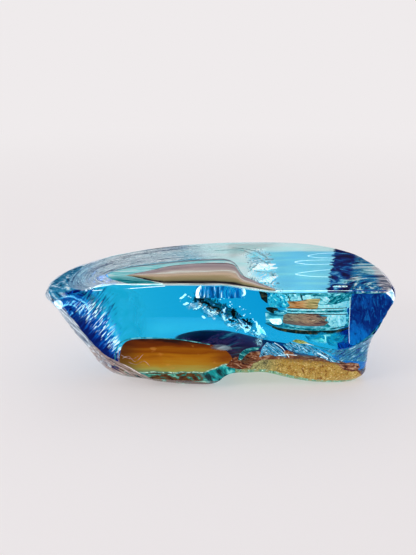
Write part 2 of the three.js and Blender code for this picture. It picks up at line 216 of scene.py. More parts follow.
def makeWorld():  # pale all round, darker on the viewer's side for what the glass mirrors
    scene.world = bpy.data.worlds.new("studio")
    paint = Paint(scene.world, "ShaderNodeOutputWorld")
    path = paint.add("ShaderNodeLightPath", result="Is Camera Ray")
    side = paint.parts(paint.add("ShaderNodeTexCoord", result="Generated"))[1]
    mirrored = paint.reflected()
    ahead = room["ahead"] + (room["mirrored"] - room["ahead"]) * mirrored
    behind = 1 - (1 - room["mirroredFar"]) * mirrored
    shade = ahead + (behind - ahead) * side.rise(room["aheadTo"], room["aheadFrom"])
    level = path.most(shade)
    back = paint.add("ShaderNodeBackground", {}, {"Color": linear(*room["backdrop"]), "Strength": level})
    paint.tree.links.new(back.socket, paint.output.inputs["Surface"])


def makeFloor():
    half = room["floorHalf"]
    z = -room["floorDrop"] * mm
    mesh = bpy.data.meshes.new("floor")
    corners = [(-half, -half, z), (half, -half, z), (half, half, z), (-half, half, z)]
    mesh.from_pydata(corners, [], [(0, 1, 2, 3)])
    floor = bpy.data.objects.new("floor", mesh)
    scene.collection.objects.link(floor)
    paint = Paint("paleFloor")
    matt = paint.add("ShaderNodeBsdfDiffuse", {}, {"Color": linear(*room["floor"])})
    glossy = paint.add("ShaderNodeLightPath", result="Is Glossy Ray")
    near = 1 - paint.parts(paint.place())[1].rise(room["mirroredTo"] / mm, room["mirroredFrom"] / mm)
    strength = 1 - (1 - room["mirrored"]) * (near * paint.reflected())
    glow = paint.add("ShaderNodeEmission", {}, {"Color": linear(*room["backdrop"]), "Strength": strength})
    through = paint.add("ShaderNodeLightPath", result="Is Transmission Ray")
    far = paint.add("ShaderNodeVectorMath", {"operation": "LENGTH"}, {0: paint.place()}, "Value") * mm
    share = room["glow"] + (1 - room["glow"]) * far.rise(room["glowNear"], room["glowFar"])
    sockets = {0: share.most(glossy.most(through)), 1: matt, 2: glow}
    mixed = paint.add("ShaderNodeMixShader", {}, sockets)
    paint.tree.links.new(mixed.socket, paint.output.inputs["Surface"])
    mesh.materials.append(paint.material)
    floor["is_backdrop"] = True


lamps = {
    "rearSoftbox": {"place": (0.1, 0.7, 0.8), "size": (0.9, 0.6), "power": 1.2},
    "leftWindow": {"place": (-0.75, -0.5, 0.6), "size": (0.35, 0.35), "power": 2.2},
    "rightWindow": {"place": (0.85, -0.14, 0.16), "size": (0.16, 0.24), "power": 1.2},
}


def makeLamp(name, place, size, power):  # a soft lamp that points at the glass
    lamp = bpy.data.objects.new(name, bpy.data.lights.new(name, "AREA"))
    lamp.data.shape = "RECTANGLE"
    lamp.data.size, lamp.data.size_y = size
    lamp.data.energy = power
    lamp.location = place
    lamp.rotation_euler = (-Vector(place)).to_track_quat("-Z", "Y").to_euler()
    scene.collection.objects.link(lamp)


makeWorld()
makeFloor()
for name, values in lamps.items():
    makeLamp(name, **values)
print("room and lamps made")

# The cast lump, lofted from rounded sections about an upright spine, in millimetres

block = {
    "length": 174.0, "depth": 86.0, "height": 52.0, "spineFromRight": 62.0, "spineFromFront": 18.0,
    "frontReach": 30.0, "skin": 0.25, "edge": 0.7, "edgeSteps": 4,
}
fineSteps = {"ringStep": 0.6, "endStep": 0.6, "middleStep": 1.5, "frontStep": 3.0}
coreSteps = {"ringStep": 1.3, "endStep": 2.2, "middleStep": 2.2, "frontStep": 3.0}
finerSpans = {"left": (-50, -25), "right": (62, 72)}  # where the steps pass into those of the ends
frontY = -block["depth"] / 2
spineX = block["length"] / 2 - block["spineFromRight"]
spineY = frontY + block["spineFromFront"]
leftReach = block["length"] - block["spineFromRight"]
backReach = block["depth"] - block["spineFromFront"]
topZ = block["height"]

# rise, then the share of the full reach: left, right, back, front at the lobe, front at the foot
castProfile = np.array([
    (0.0, 0.545, 0.756, 0.6, 0.45, 0.4), (0.07, 0.69, 0.812, 0.72, 0.583, 0.483),
    (0.18, 0.763, 0.82, 0.82, 0.767, 0.533), (0.4, 0.83, 0.837, 0.91, 0.9, 0.62),
    (0.6, 0.895, 0.884, 0.97, 0.967, 0.9), (0.8, 0.954, 0.95, 1, 0.967, 1), (0.93, 1, 1, 1, 0.867, 0.933),
    (1.01, 0.89, 0.942, 0.975, 0.767, 0.8), (1.12, 0.64, 0.65, 0.75, 0.633, 0.633),
])
squareness = {"leftFront": 4, "rightFront": 4, "leftBack": 2.1, "rightBack": 2.5}
frontBlend = (-6, 26)
undersideLine = np.array([
    (-113, 9), (-85, 7.8), (-75, 6), (-63, 5), (-53, 1.1), (-43, 0), (-34, 0), (-28, 1.6), (-23, 6.6),
    (-18, 8.8), (-10, 9), (-1, 8), (11, 4.6), (23, 1.8), (33, 0.6), (43, 0), (63, 0),
], float)
undersideDepth = 30.0

# Upper left of the front, which leans back from a soft crease to the top, places from the spine
lean = {
    "back": 10.0, "crease": 26.0, "softness": 2.5, "evenFrom": 34.0,
    "left": (-95, -82), "right": (-27, 5), "steps": 80,
}


def splineRows(rows, shares):  # smooth curve through rows, even in parameter
    place = np.clip(shares, 0, 1) * (len(rows) - 1)
    i = np.minimum(place.astype(int), len(rows) - 2)
    w = (place - i)[:, None]
    last = len(rows) - 1
    p0, p1, p2, p3 = rows[np.maximum(i - 1, 0)], rows[i], rows[i + 1], rows[np.minimum(i + 2, last)]
    v0, v1 = (p2 - p0) / 2, (p3 - p1) / 2
    return (2 * p1 - 2 * p2 + v0 + v1) * w ** 3 + (3 * p2 - 3 * p1 - 2 * v0 - v1) * w ** 2 + v0 * w + p1


def closedCurve(points, steps):  # smooth closed curve through points
    rows = np.array(points, float)
    count = len(rows)
    place = np.arange(steps) / steps * count
    i = place.astype(int)
    w = (place - i)[:, None]
    p0, p1, p2, p3 = (rows[(i + k) % count] for k in (-1, 0, 1, 2))
    v0, v1 = (p2 - p0) / 2, (p3 - p1) / 2
    return (2 * p1 - 2 * p2 + v0 + v1) * w ** 3 + (3 * p2 - 3 * p1 - 2 * v0 - v1) * w ** 2 + v0 * w + p1


def rounded(value, power):
    return np.sign(value) * np.abs(value) ** (2 / power)


def smooth(value, low, high):
    t = np.clip((value - low) / (high - low), 0, 1)
    return t * t * (3 - 2 * t)


def section(share, angles, grow):  # share: left, right, back, lobe front, foot front
    c, s = np.cos(angles), np.sin(angles)
    toRight = smooth(c, -0.5, 0.5)
    back = squareness["leftBack"] + (squareness["rightBack"] - squareness["leftBack"]) * toRight
    power = np.where(s < 0, np.where(c < 0, squareness["leftFront"], squareness["rightFront"]), back)
    side = np.where(c < 0, leftReach * share[0], block["spineFromRight"] * share[1]) + grow
    x = spineX + side * rounded(c, power)
    front = share[3] + (share[4] - share[3]) * smooth(x, *frontBlend)
    y = spineY + np.where(s < 0, block["frontReach"] * front, backReach * share[2]) * rounded(s, power)
    return x, y + grow * rounded(s, power)


def evenAngles(steps):  # angles that lie about a step apart along the widest section
    angles = np.linspace(0, 2 * np.pi, 20001)
    x, y = section(np.array([1, 1, 1, 0.967, 1]), angles, 0)
    step = np.where(y < frontY + 4, steps["frontStep"], steps["middleStep"])
    ends = np.maximum(1 - smooth(x, *finerSpans["left"]), smooth(x, *finerSpans["right"]))
    step = step + (steps["endStep"] - step) * ends
    run = np.concatenate([[0], np.cumsum(np.hypot(np.diff(x), np.diff(y)) / step[1:])])
    count = int(round(run[-1]))
    return np.interp(np.arange(count) * run[-1] / count, run, angles)


def enclosed(mesh):  # volume that the faces enclose, negative where they point inwards
    mesh.calc_loop_triangles()
    corners = np.empty(len(mesh.loop_triangles) * 3, int)
    mesh.loop_triangles.foreach_get("vertices", corners)
    points = np.empty(len(mesh.vertices) * 3)
    mesh.vertices.foreach_get("co", points)
    a, b, c = points.reshape(-1, 3)[corners.reshape(-1, 3)].transpose(1, 0, 2)
    return float(np.einsum("ij,ij->i", a, np.cross(b, c)).sum() / 6)


def solidMesh(name, points, faces):
    mesh = bpy.data.meshes.new(name)
    mesh.from_pydata([tuple(p) for p in np.asarray(points) * mm], [], faces)
    mesh.validate()
    mesh.update()
    if enclosed(mesh) < 0:
        mesh.flip_normals()
    return mesh


def skinOver(name, rings):  # a closed mesh over rings of equal length
    count = rings.shape[1]
    points = np.concatenate([rings.reshape(-1, 3), rings[:1].mean(axis=1), rings[-1:].mean(axis=1)])
    faces = []
    for low in range(0, (len(rings) - 1) * count, count):
        for k in range(count):
            following = (k + 1) % count
            faces.append((low + k, low + following, low + count + following, low + count + k))
    last = (len(rings) - 1) * count
    faces += [(len(points) - 2, (k + 1) % count, k) for k in range(count)]
    faces += [(len(points) - 1, last + k, last + (k + 1) % count) for k in range(count)]
    return solidMesh(name, points, faces)


def newObject(name, mesh):
    made = bpy.data.objects.new(name, mesh)
    scene.collection.objects.link(made)
    return made


workshop = []  # solids that only cut others, removed at the end


def tool(name, mesh):
    made = newObject(name, mesh)
    workshop.append(made)
    return made


def carve(name, base, *steps):  # steps: ("DIFFERENCE", "INTERSECT" or "UNION", object)
    work = newObject(name, base.data.copy())
    for operation, cutter in steps:
        modifier = work.modifiers.new(operation, "BOOLEAN")
        modifier.operation = operation
        modifier.solver = "MANIFOLD"
        modifier.object = cutter
    graph = bpy.context.evaluated_depsgraph_get()
    mesh = bpy.data.meshes.new_from_object(work.evaluated_get(graph))
    work.modifiers.clear()
    old = work.data
    work.data = mesh
    bpy.data.meshes.remove(old)
    return work


fineShares = np.linspace(0, 1, 2001)
profileRise = splineRows(castProfile[:, :1], fineShares)[:, 0]


def profileAt(z):  # the shares of the full reach at a height
    t = np.interp(z / topZ, profileRise, fineShares)
    return np.minimum(splineRows(castProfile[:, 1:], np.array([t]))[0], castProfile.max(axis=0)[1:])


def lumpMesh(name, grow, steps):
    angles = evenAngles(steps)
    rings = []
    for z in np.arange(0, profileRise[-1] * topZ, steps["ringStep"]):
        x, y = section(profileAt(z), angles, grow)
        rings.append(np.stack([x, y, np.full_like(x, z)], axis=1))
    return skinOver(name, np.array(rings))


def leanAt(x):
    fromLeft = smooth(x, spineX + lean["left"][0], spineX + lean["left"][1])
    return lean["back"] * fromLeft * (1 - smooth(x, spineX + lean["right"][0], spineX + lean["right"][1]))


def frontAt(x, z, grow):  # depth of the polished front
    soft = lean["softness"]
    over = np.asarray(z, float) - lean["crease"]
    eased = np.where(over < -soft, 0, np.where(over > soft, over, (over + soft) ** 2 / (4 * soft)))
    return frontY - grow + leanAt(x) * eased / (topZ - lean["crease"])


def polishMesh(name, grow):  # what the saw leaves: the front, the top and a fine round edge between them
    top = topZ + grow
    soft, edge = lean["softness"], block["edge"]
    creased = lean["crease"] + soft * np.linspace(-1, 1, 9)
    heights = [-grow, *creased, *np.linspace(lean["evenFrom"], top - edge, 4)]
    leaning = spineX + np.linspace(lean["left"][0], lean["right"][1], lean["steps"] + 1)
    rings = []
    for x in [-block["length"], *leaning, block["length"]]:
        ring = [(x, block["depth"], top), (x, block["depth"], -grow)]
        ring += [(x, float(frontAt(x, z, grow)), z) for z in heights]
        low, corner = np.array(ring[-1]), np.array((x, float(frontAt(x, top, grow)), top))
        far = corner + (0, edge, 0)
        for t in np.linspace(0, 1, block["edgeSteps"] + 1)[1:]:
            ring.append(tuple((1 - t) ** 2 * low + 2 * t * (1 - t) * corner + t * t * far))
        rings.append(ring)
    return skinOver(name, np.array(rings))


def lift(x, y):
    line = splineRows(undersideLine, np.linspace(0, 1, 961))
    inward = np.maximum(y - frontY, 0) / undersideDepth
    return np.maximum(np.interp(x, spineX + line[:, 0], line[:, 1]), 0) * np.exp(-inward * inward)


fieldFoot = -30.0


def fieldMesh(name, heightAt, cells=(260, 60), margin=3.0):  # everything under a height function
    x = np.linspace(-block["length"] / 2 - margin, block["length"] / 2 + margin, cells[0] + 1)
    y = np.linspace(frontY - margin, block["depth"] / 2 + margin, cells[1] + 1)
    gx, gy = np.meshgrid(x, y, indexing="ij")
    top = np.stack([gx, gy, heightAt(gx, gy)], axis=2).reshape(-1, 3)
    low = top.copy()
    low[:, 2] = fieldFoot
    n, m = cells[0] + 1, cells[1] + 1
    half = n * m
    faces = []
    for i in range(n - 1):
        for j in range(m - 1):
            a, b, c, d = i * m + j, (i + 1) * m + j, (i + 1) * m + j + 1, i * m + j + 1
            faces += [(a, b, c, d), (half + d, half + c, half + b, half + a)]
    for i in range(n - 1):
        a, b = i * m, (i + 1) * m
        faces.append((half + a, half + b, b, a))
        a, b = i * m + m - 1, (i + 1) * m + m - 1
        faces.append((a, b, half + b, half + a))
    for j in range(m - 1):
        faces.append((j, j + 1, half + j + 1, half + j))
        a = (n - 1) * m + j
        faces.append((half + a, half + a + 1, a + 1, a))
    return solidMesh(name, np.concatenate([top, low]), faces)


# Geometry Nodes

def nodeTree(name, inputs):
    tree = bpy.data.node_groups.new(name, "GeometryNodeTree")
    tree.interface.new_socket(name="Geometry", in_out="INPUT", socket_type="NodeSocketGeometry")
    tree.interface.new_socket(name="Geometry", in_out="OUTPUT", socket_type="NodeSocketGeometry")
    for label in inputs:
        tree.interface.new_socket(name=label, in_out="INPUT", socket_type="NodeSocketFloat")
    tree.interface.new_socket(name="Finish", in_out="INPUT", socket_type="NodeSocketMaterial")
    return tree


def treeNode(tree, kind, settings=None, sockets=None):
    node = tree.nodes.new(kind)
    for name, value in (settings or {}).items():
        setattr(node, name, value)
    for name, value in (sockets or {}).items():
        if isinstance(value, bpy.types.NodeSocket):
            tree.links.new(value, node.inputs[name])
        else:
            node.inputs[name].default_value = value
    return node


def treeMath(tree, operation, first, second):
    return treeNode(tree, "ShaderNodeMath", {"operation": operation}, {0: first, 1: second}).outputs[0]


def treeVector(tree, operation, sockets):
    return treeNode(tree, "ShaderNodeVectorMath", {"operation": operation}, sockets).outputs[0]


def treeEnd(tree, geometry, finish):
    real = treeNode(tree, "GeometryNodeRealizeInstances", None, {0: geometry}).outputs[0]
    sockets = {"Geometry": real, "Material": finish}
    done = treeNode(tree, "GeometryNodeSetMaterial", None, sockets).outputs[0]
    treeNode(tree, "NodeGroupOutput", None, {"Geometry": done})
    return tree


def grown(target, tree, values):  # runs a tree on an object and makes the result its plain mesh
    modifier = target.modifiers.new(tree.name, "NODES")
    modifier.node_group = tree
    for item in tree.interface.items_tree:
        if item.item_type == "SOCKET" and item.in_out == "INPUT" and item.name in values:
            modifier[item.identifier] = values[item.name]
    bpy.context.view_layer.update()
    graph = bpy.context.evaluated_depsgraph_get()
    mesh = bpy.data.meshes.new_from_object(target.evaluated_get(graph))
    target.modifiers.clear()
    if target.type == "MESH":
        target.data = mesh
        return target
    made = newObject(target.name + "_mesh", mesh)
    name = target.name
    bpy.data.objects.remove(target)
    made.name = name
    return made


# Ripples left on the cast sides by the mould

ripples = {
    "Depth": 0.42, "Middle depth": 0.03, "Pitch": 2.6, "Stretch": 16.0,
    "Left from": -34.0, "Left full": -62.0, "Right from": 66.0, "Right full": 80.0,
}


def rippleTree():
    tree = nodeTree("castRipples", list(ripples))
    source = treeNode(tree, "NodeGroupInput").outputs
    place = treeNode(tree, "GeometryNodeInputPosition").outputs[0]
    parts = treeNode(tree, "ShaderNodeSeparateXYZ", None, {0: place}).outputs
    x = treeMath(tree, "MULTIPLY", parts[0], 1 / mm)
    along = treeMath(tree, "DIVIDE", 1 / mm, source["Stretch"])
    across = treeMath(tree, "DIVIDE", 1 / mm, source["Pitch"])
    scale = treeNode(tree, "ShaderNodeCombineXYZ", None, {0: along, 1: along, 2: across}).outputs[0]
    warped = treeVector(tree, "MULTIPLY", {0: place, 1: scale})
    settings = {"Vector": warped, "Scale": 1.0, "Detail": 2.0, "Distortion": 0.6}
    noise = treeNode(tree, "ShaderNodeTexNoise", None, settings).outputs[0]
    eased = {"interpolation_type": "SMOOTHSTEP"}
    ends = []
    for low, high in (("Left from", "Left full"), ("Right from", "Right full")):
        sockets = {0: x, 1: source[low], 2: source[high], 3: 0.0, 4: 1.0}
        ends.append(treeNode(tree, "ShaderNodeMapRange", eased, sockets).outputs[0])
    ending = treeMath(tree, "MULTIPLY", treeMath(tree, "MAXIMUM", *ends), source["Depth"])
    deep = treeMath(tree, "MULTIPLY", treeMath(tree, "ADD", source["Middle depth"], ending), 2.0 * mm)
    push = treeMath(tree, "MULTIPLY", treeMath(tree, "SUBTRACT", noise, 0.5), deep)
    normal = treeNode(tree, "GeometryNodeInputNormal").outputs[0]
    offset = treeVector(tree, "SCALE", {0: normal, "Scale": push})
    sockets = {"Geometry": source["Geometry"], "Offset": offset}
    moved = treeNode(tree, "GeometryNodeSetPosition", None, sockets).outputs[0]
    return treeEnd(tree, moved, source["Finish"])


# Sea-blue glass of the block

seaBlue = {"ior": 1.5, "density": 70.0, "kept": (0.0, 0.848, 0.968)}


def makeSeaGlass():
    paint = Paint("seaGlass")
    material = paint.surface(
        Base_Color=(1.0, 1.0, 1.0), Roughness=0.0, IOR=seaBlue["ior"], Transmission_Weight=1.0,
        Specular_IOR_Level=0.3,
    )
    sockets = {"Color": seaBlue["kept"], "Density": seaBlue["density"]}
    volume = paint.add("ShaderNodeVolumeAbsorption", {}, sockets)
    paint.tree.links.new(volume.socket, paint.output.inputs["Volume"])
    return material


broadFace = 5e-5  # square metres
slightTurn = math.radians(0.3)


# every face smooth, with sharp edges round broad flat faces and where faces turn most
def shadeCut(piece, limit):
    made = bmesh.new()
    made.from_mesh(piece.data)
    for face in made.faces:
        face.smooth = True
    for edge in made.edges:
        broad = any(face.calc_area() > broadFace for face in edge.link_faces)
        edge.smooth = edge.calc_face_angle(0) < (slightTurn if broad else limit)
    made.to_mesh(piece.data)
    made.free()


seaGlass = makeSeaGlass()
skin = block["skin"]
lump = tool("lumpWork", lumpMesh("lumpWork", skin, fineSteps))
grown(lump, rippleTree(), {**ripples, "Finish": seaGlass})
polish = tool("polishWork", polishMesh("polishWork", skin))
under = tool("underWork", fieldMesh("underWork", lambda x, y: lift(x, y) - skin))
glassBlock = carve("sea_glass_block", lump, ("INTERSECT", polish), ("DIFFERENCE", under))
shadeCut(glassBlock, math.radians(32))
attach(glassBlock, "root")
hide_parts("sea_block")
print("glass block made")

# The solid just inside the skin, which every inner piece is cut to

core = tool("coreWork", lumpMesh("coreWork", 0, coreSteps))
corePolish = tool("corePolish", polishMesh("corePolish", 0))
coreUnder = tool("coreUnder", fieldMesh("coreUnder", lift))
core = carve("coreSolid", core, ("INTERSECT", corePolish), ("DIFFERENCE", coreUnder))
workshop.append(core)
reaches = {}


def coreAt(reach):  # the core pushed back from the front by a reach, or moved by three numbers
    if reach not in reaches:
        copy = tool("coreAt", core.data.copy())
        shift = Vector(reach if isinstance(reach, tuple) else (0, reach, 0)) * mm
        for vertex in copy.data.vertices:
            vertex.co += shift
        reaches[reach] = copy
    return reaches[reach]


massDepth = 0.45
massCore = carve("massCore", core, ("INTERSECT", coreAt(massDepth)))
workshop.append(massCore)


def dress(piece, material, slot, *nodes, limit=40):
    piece.data.materials.clear()
    piece.data.materials.append(material)
    piece.data.polygons.foreach_set("material_index", [0] * len(piece.data.polygons))
    shadeCut(piece, math.radians(limit))
    if not piece.data.polygons:
        print("nothing left of", piece.name)
    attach(piece, "root")
    if nodes:
        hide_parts(*nodes)
    return piece


# Rounded masses of the base, places from the spine and from the polished front

masses = {
    "lobe": {
        "along": -46.4, "inward": 21, "halfLength": 29.2, "halfDepth": 38, "height": 27.2, "fall": 0.44,
        "roundness": 9, "droopFrom": -26, "droop": 0.0065,
    },
    "foot": {
        "along": 15.5, "inward": 16, "halfLength": 36.0, "halfDepth": 19, "height": 20.4, "fall": 0.32,
        "roundness": 5, "droopFrom": 28, "droop": 0.0042,
    },
    "lustre": {
        "along": -10, "inward": 21, "halfLength": 54, "halfDepth": 15, "height": 19.4, "fall": -0.05,
        "roundness": 3, "slope": -0.1,
    },
}
massSteps = {"rings": 22, "around": 132, "closing": 0.98, "below": 20.0, "seam": 0.06}


def massMesh(name, mass, grow=0.0, drop=0.0):
    angles = np.arange(massSteps["around"]) / massSteps["around"] * 2 * np.pi
    rings = []
    for level in range(massSteps["rings"] + 1):
        climb = math.sin(level / massSteps["rings"] * math.pi / 2 * massSteps["closing"])
        draw = rounded(math.sqrt(1 - climb * climb), mass["roundness"])
        across = rounded(np.cos(angles), mass["roundness"])
        deep = rounded(np.sin(angles), mass["roundness"])
        x = spineX + mass["along"] + (mass["halfLength"] + grow) * draw * across
        y = frontY + mass["inward"] + (mass["halfDepth"] + grow) * draw * deep
        tilt = mass.get("slope", 0.0) * (x - spineX - mass["along"])
        tilt = tilt - mass.get("droop", 0.0) * np.maximum(x - mass.get("droopFrom", 0.0), 0) ** 2
        crown = mass["height"] - drop + grow - mass["fall"] * (y - frontY) + tilt
        z = -massSteps["below"] + (crown + massSteps["below"]) * rounded(climb, mass["roundness"])
        rings.append(np.stack([x, y, z], axis=1))
    return skinOver(name, np.array(rings))


paintedGlow = 0.6  # painted glow: an emission that stands in for light coming through coloured glass from behind it
innerFinish = {"Roughness": 0.3, "Specular_IOR_Level": 0.04}


# a finish inside clear glass, which takes its gloss from the skin; its emission of its own colour is a
# painted glow
def inner(paint, colour, glow=paintedGlow, **sockets):
    sockets = {**innerFinish, **sockets}
    return paint.surface(Base_Color=colour, Emission_Color=colour, Emission_Strength=glow, **sockets)


lobeColours = [
    (0.0, (104, 116, 80)), (0.14, (146, 138, 66)), (0.3, (160, 112, 22)), (0.46, (156, 94, 8)),
    (0.6, (122, 58, 2)), (0.7, (140, 78, 8)), (0.82, (108, 46, 4)), (0.92, (88, 34, 6)),
    (1.0, (40, 18, 14)),
]


def amberGlass():
    paint = Paint("amberGlass")
    x, _, z = paint.parts(paint.place())
    cloud = paint.grain((0.035, 0.1, 0.13), 3.0, 0.8)
    streak = paint.grain((0.05, 0.2, 0.9), 4.0, 0.4)
    level = (z - 7.5 + (x + 21.0) * 0.05) / 19.5 + (cloud - 0.5) * 0.6 + (streak - 0.5) * 0.22
    colour = paint.ramp(level, lobeColours)
    spots = paint.grain((0.16, 0.2, 0.28), 2.0, 0.3).rise(0.64, 0.76)
    colour = paint.mix(spots * 0.35, colour, linear(196, 132, 60))
    edge = 1 - x.rise(-49.0, -36.0)
    colour = paint.mix(edge * 0.75, colour, linear(58, 24, 12))
    rightShade = x.rise(-12.0, 8.0) * 0.5
    colour = paint.mix(rightShade, colour, linear(104, 44, 12))
    return inner(paint, colour, 0.8, Roughness=0.35)


def skinGlass():
    paint = Paint("skinGlass")
    x, _, z = paint.parts(paint.place())
    mottle = paint.grain((0.18, 0.2, 0.5), 4.0, 0.9)
    colour = paint.ramp(mottle, [
        (0.4, (44, 18, 4)), (0.48, (78, 34, 6)), (0.54, (104, 66, 14)), (0.58, (20, 78, 66)),
        (0.62, (50, 140, 124)), (0.7, (150, 200, 176)),
    ])
    curl = (x + z * 0.6).rise(-6.5, -2.5).most(1 - x.rise(-42.0, -34.0))
    grain = paint.grain((0.4, 0.3, 0.16), 3.0, 0.5, turn=(0, 35, 0))
    teal = paint.ramp(grain, [
        (0.38, (1, 44, 50)), (0.44, (4, 108, 112)), (0.54, (8, 156, 158)), (0.66, (110, 206, 200)),
    ])
    return inner(paint, paint.mix(curl, colour, teal), Roughness=0.25)


def seamGlass():  # the wavering line between the amber and its skin, its paleness a painted highlight
    paint = Paint("seamGlass")
    mottle = paint.grain((0.5, 0.4, 0.9), 3.0, 0.8)
    colour = paint.ramp(mottle, [
        (0.36, (70, 104, 86)), (0.48, (110, 158, 140)), (0.6, (196, 222, 204)),
    ])
    return inner(paint, colour, Roughness=0.25)


def goldGlass():
    paint = Paint("goldGlass")
    place = paint.place()
    x, _, z = paint.parts(place)
    grain = paint.grain((0.5, 0.4, 0.42), 6.0, 1.0, 0.75, turn=(0, -8, 0))
    colour = paint.ramp(grain, [
        (0.36, (96, 54, 14)), (0.43, (150, 100, 32)), (0.49, (186, 144, 62)), (0.54, (160, 132, 62)),
        (0.6, (202, 168, 92)), (0.67, (236, 216, 156)),
    ])
    coppery = (z - 17.0 + (x - 20.0) * 0.1 + (grain - 0.5) * 14.0).rise(-1.5, 1.0)
    colour = paint.mix(coppery * 0.8, colour, linear(104, 62, 36))
    mossy = (x + (grain - 0.5) * 40.0).rise(20.0, 34.0)
    colour = paint.mix((1 - mossy) * 0.75, colour, paint.ramp(grain, [
        (0.4, (70, 84, 60)), (0.5, (128, 136, 92)), (0.58, (170, 172, 124)), (0.66, (214, 218, 170)),
    ]))
    fleck = paint.noise(place, 1.3, 3.0, 0.0, 0.7)
    colour = paint.mix(fleck.rise(0.6, 0.68) * 0.8, colour, linear(244, 222, 166))
    colour = paint.mix((1 - fleck.rise(0.34, 0.42)) * 0.6, colour, linear(84, 48, 12))
    return inner(paint, colour, Roughness=paint.noise(place, 1.2, 2.0) * 0.3 + 0.2, Metallic=0.25)


def copperGlass():
    paint = Paint("copperGlass")
    grain = paint.grain((0.3, 0.4, 0.9), 5.0, 1.0, 0.6, turn=(0, 10, 0))
    colour = paint.ramp(grain, [
        (0.34, (40, 18, 14)), (0.44, (88, 44, 28)), (0.52, (126, 78, 48)), (0.58, (84, 56, 56)),
        (0.66, (180, 146, 108)),
    ])
    return inner(paint, colour, Metallic=0.2)


def rimGlass():
    paint = Paint("rimGlass")
    place = paint.place()
    grain = paint.noise(place, 0.9, 4.0, 1.4, 0.65)
    colour = paint.ramp(grain, [
        (0.32, (24, 60, 52)), (0.43, (84, 138, 116)), (0.5, (150, 178, 120)), (0.56, (96, 168, 158)),
        (0.66, (226, 240, 226)),
    ])
    warm = paint.noise(place, 0.3, 2.0).rise(0.5, 0.62)
    colour = paint.mix(warm * 0.6, colour, linear(168, 132, 60))
    return inner(paint, colour, Roughness=0.15)


def lustreGlass():
    paint = Paint("lustreGlass")
    x, _, z = paint.parts(paint.place())
    cloud = paint.grain((0.05, 0.08, 0.2), 3.0, 0.7, turn=(0, 8, 0))
    level = (z - 12.0 - x.rise(14.0, 34.0) * -7.0) / 14.0 + (cloud - 0.5) * 0.9
    colour = paint.ramp(level, [
        (0.0, (84, 44, 20)), (0.25, (104, 56, 56)), (0.4, (70, 30, 62)), (0.52, (92, 50, 84)),
        (0.62, (24, 18, 66)), (0.8, (4, 14, 66)), (0.92, (2, 30, 84)), (1.0, (4, 70, 126)),
    ])
    oil = paint.grain((0.05, 0.1, 0.45), 5.0, 0.9, 0.6, turn=(0, 6, 0))
    marks = paint.ramp(oil, [
        (0.4, (0, 8, 30)), (0.46, (40, 12, 44)), (0.5, (110, 50, 84)), (0.53, (6, 14, 50)),
        (0.58, (70, 96, 110)), (0.64, (130, 150, 150)),
    ])
    colour = paint.mix((1 - x.rise(2.0, 22.0)) * 0.75, colour, marks)
    return inner(paint, colour)


seamDepth = 0.7
skinLayer = {"level": 9.0, "least": 1.9, "curl": 4.4, "curlFrom": -10, "curlTo": 5, "waver": 0.16}


def skinHeight(x, y):
    level = skinLayer["level"] + skinLayer["curl"] * smooth(x, skinLayer["curlFrom"], skinLayer["curlTo"])
    waver = skinLayer["waver"] * (np.sin(0.9 * x) + np.sin(0.37 * x + 1.3))
    return np.maximum(level, lift(x, y) + skinLayer["least"]) + waver


def overField(name, heightAt):
    return tool(name, fieldMesh(name, heightAt))


gap = massSteps["seam"]
lobeSolid = tool("lobeSolid", massMesh("lobeSolid", masses["lobe"]))
lobeCut = tool("lobeCut", massMesh("lobeCut", masses["lobe"], gap))
footSolid = tool("footSolid", massMesh("footSolid", masses["foot"]))
footCut = tool("footCut", massMesh("footCut", masses["foot"], gap))
lustreSolid = tool("lustreSolid", massMesh("lustreSolid", masses["lustre"]))
rimHeight = 1.3
capThickness = 1.5


def rimTop(x, y):
    return lift(x, y) + rimHeight + 0.25 * np.sin(1.7 * x) * np.sin(0.6 * x)


fields = {
    "skinTop": overField("skinTop", skinHeight),
    "skinTopGap": overField("skinTopGap", lambda x, y: skinHeight(x, y) + gap),
    "seamFoot": overField("seamFoot", lambda x, y: skinHeight(x, y) - seamDepth),
    "seamFootGap": overField("seamFootGap", lambda x, y: skinHeight(x, y) - seamDepth + gap),
    "rimTop": overField("rimTop", rimTop),
    "rimTopGap": overField("rimTopGap", lambda x, y: rimTop(x, y) + gap),
}
inLobe = ("INTERSECT", lobeSolid)
amberLobe = carve("amber_lobe_glass", massCore, inLobe, ("DIFFERENCE", fields["skinTopGap"]))
dress(amberLobe, amberGlass(), "amber_glass", "amber_lobe")
inSeam = [("INTERSECT", fields["skinTop"]), ("DIFFERENCE", fields["seamFootGap"])]
seam = carve("lobe_seam", massCore, inLobe, *inSeam)
dress(seam, seamGlass(), "teal_glass")
lobeSkin = carve("lobe_skin_glass", massCore, inLobe, ("INTERSECT", fields["seamFoot"]))
dress(lobeSkin, skinGlass(), "teal_glass", "lobe_skin")
capCore = tool("capCore", massMesh("capCore", masses["foot"], 0, capThickness))
capCoreGap = tool("capCoreGap", massMesh("capCoreGap", masses["foot"], 0, capThickness + gap))
inFoot = [("INTERSECT", footSolid), ("DIFFERENCE", lobeCut)]
aboveRim = ("DIFFERENCE", fields["rimTopGap"])
footRim = carve("foot_rim_glass", massCore, *inFoot, ("INTERSECT", fields["rimTop"]))
dress(footRim, rimGlass(), "teal_glass", "foot_rim")
goldFoot = carve("gold_foot_glass", massCore, *inFoot, ("INTERSECT", capCoreGap), aboveRim)
dress(goldFoot, goldGlass(), "gold_glass", "gold_foot")
copperBand = carve("copper_band_glass", massCore, *inFoot, ("DIFFERENCE", capCore), aboveRim)
dress(copperBand, copperGlass(), "copper_glass", "copper_band")
inLustre = [("INTERSECT", lustreSolid), ("DIFFERENCE", lobeCut), ("DIFFERENCE", footCut)]
lustreLayer = carve("lustre_layer_glass", massCore, *inLustre)
dress(lustreLayer, lustreGlass(), "lustre_glass", "lustre_layer")
print("base masses made")


# Thin pieces that follow the polished front, outlines as [x, z] in millimetres

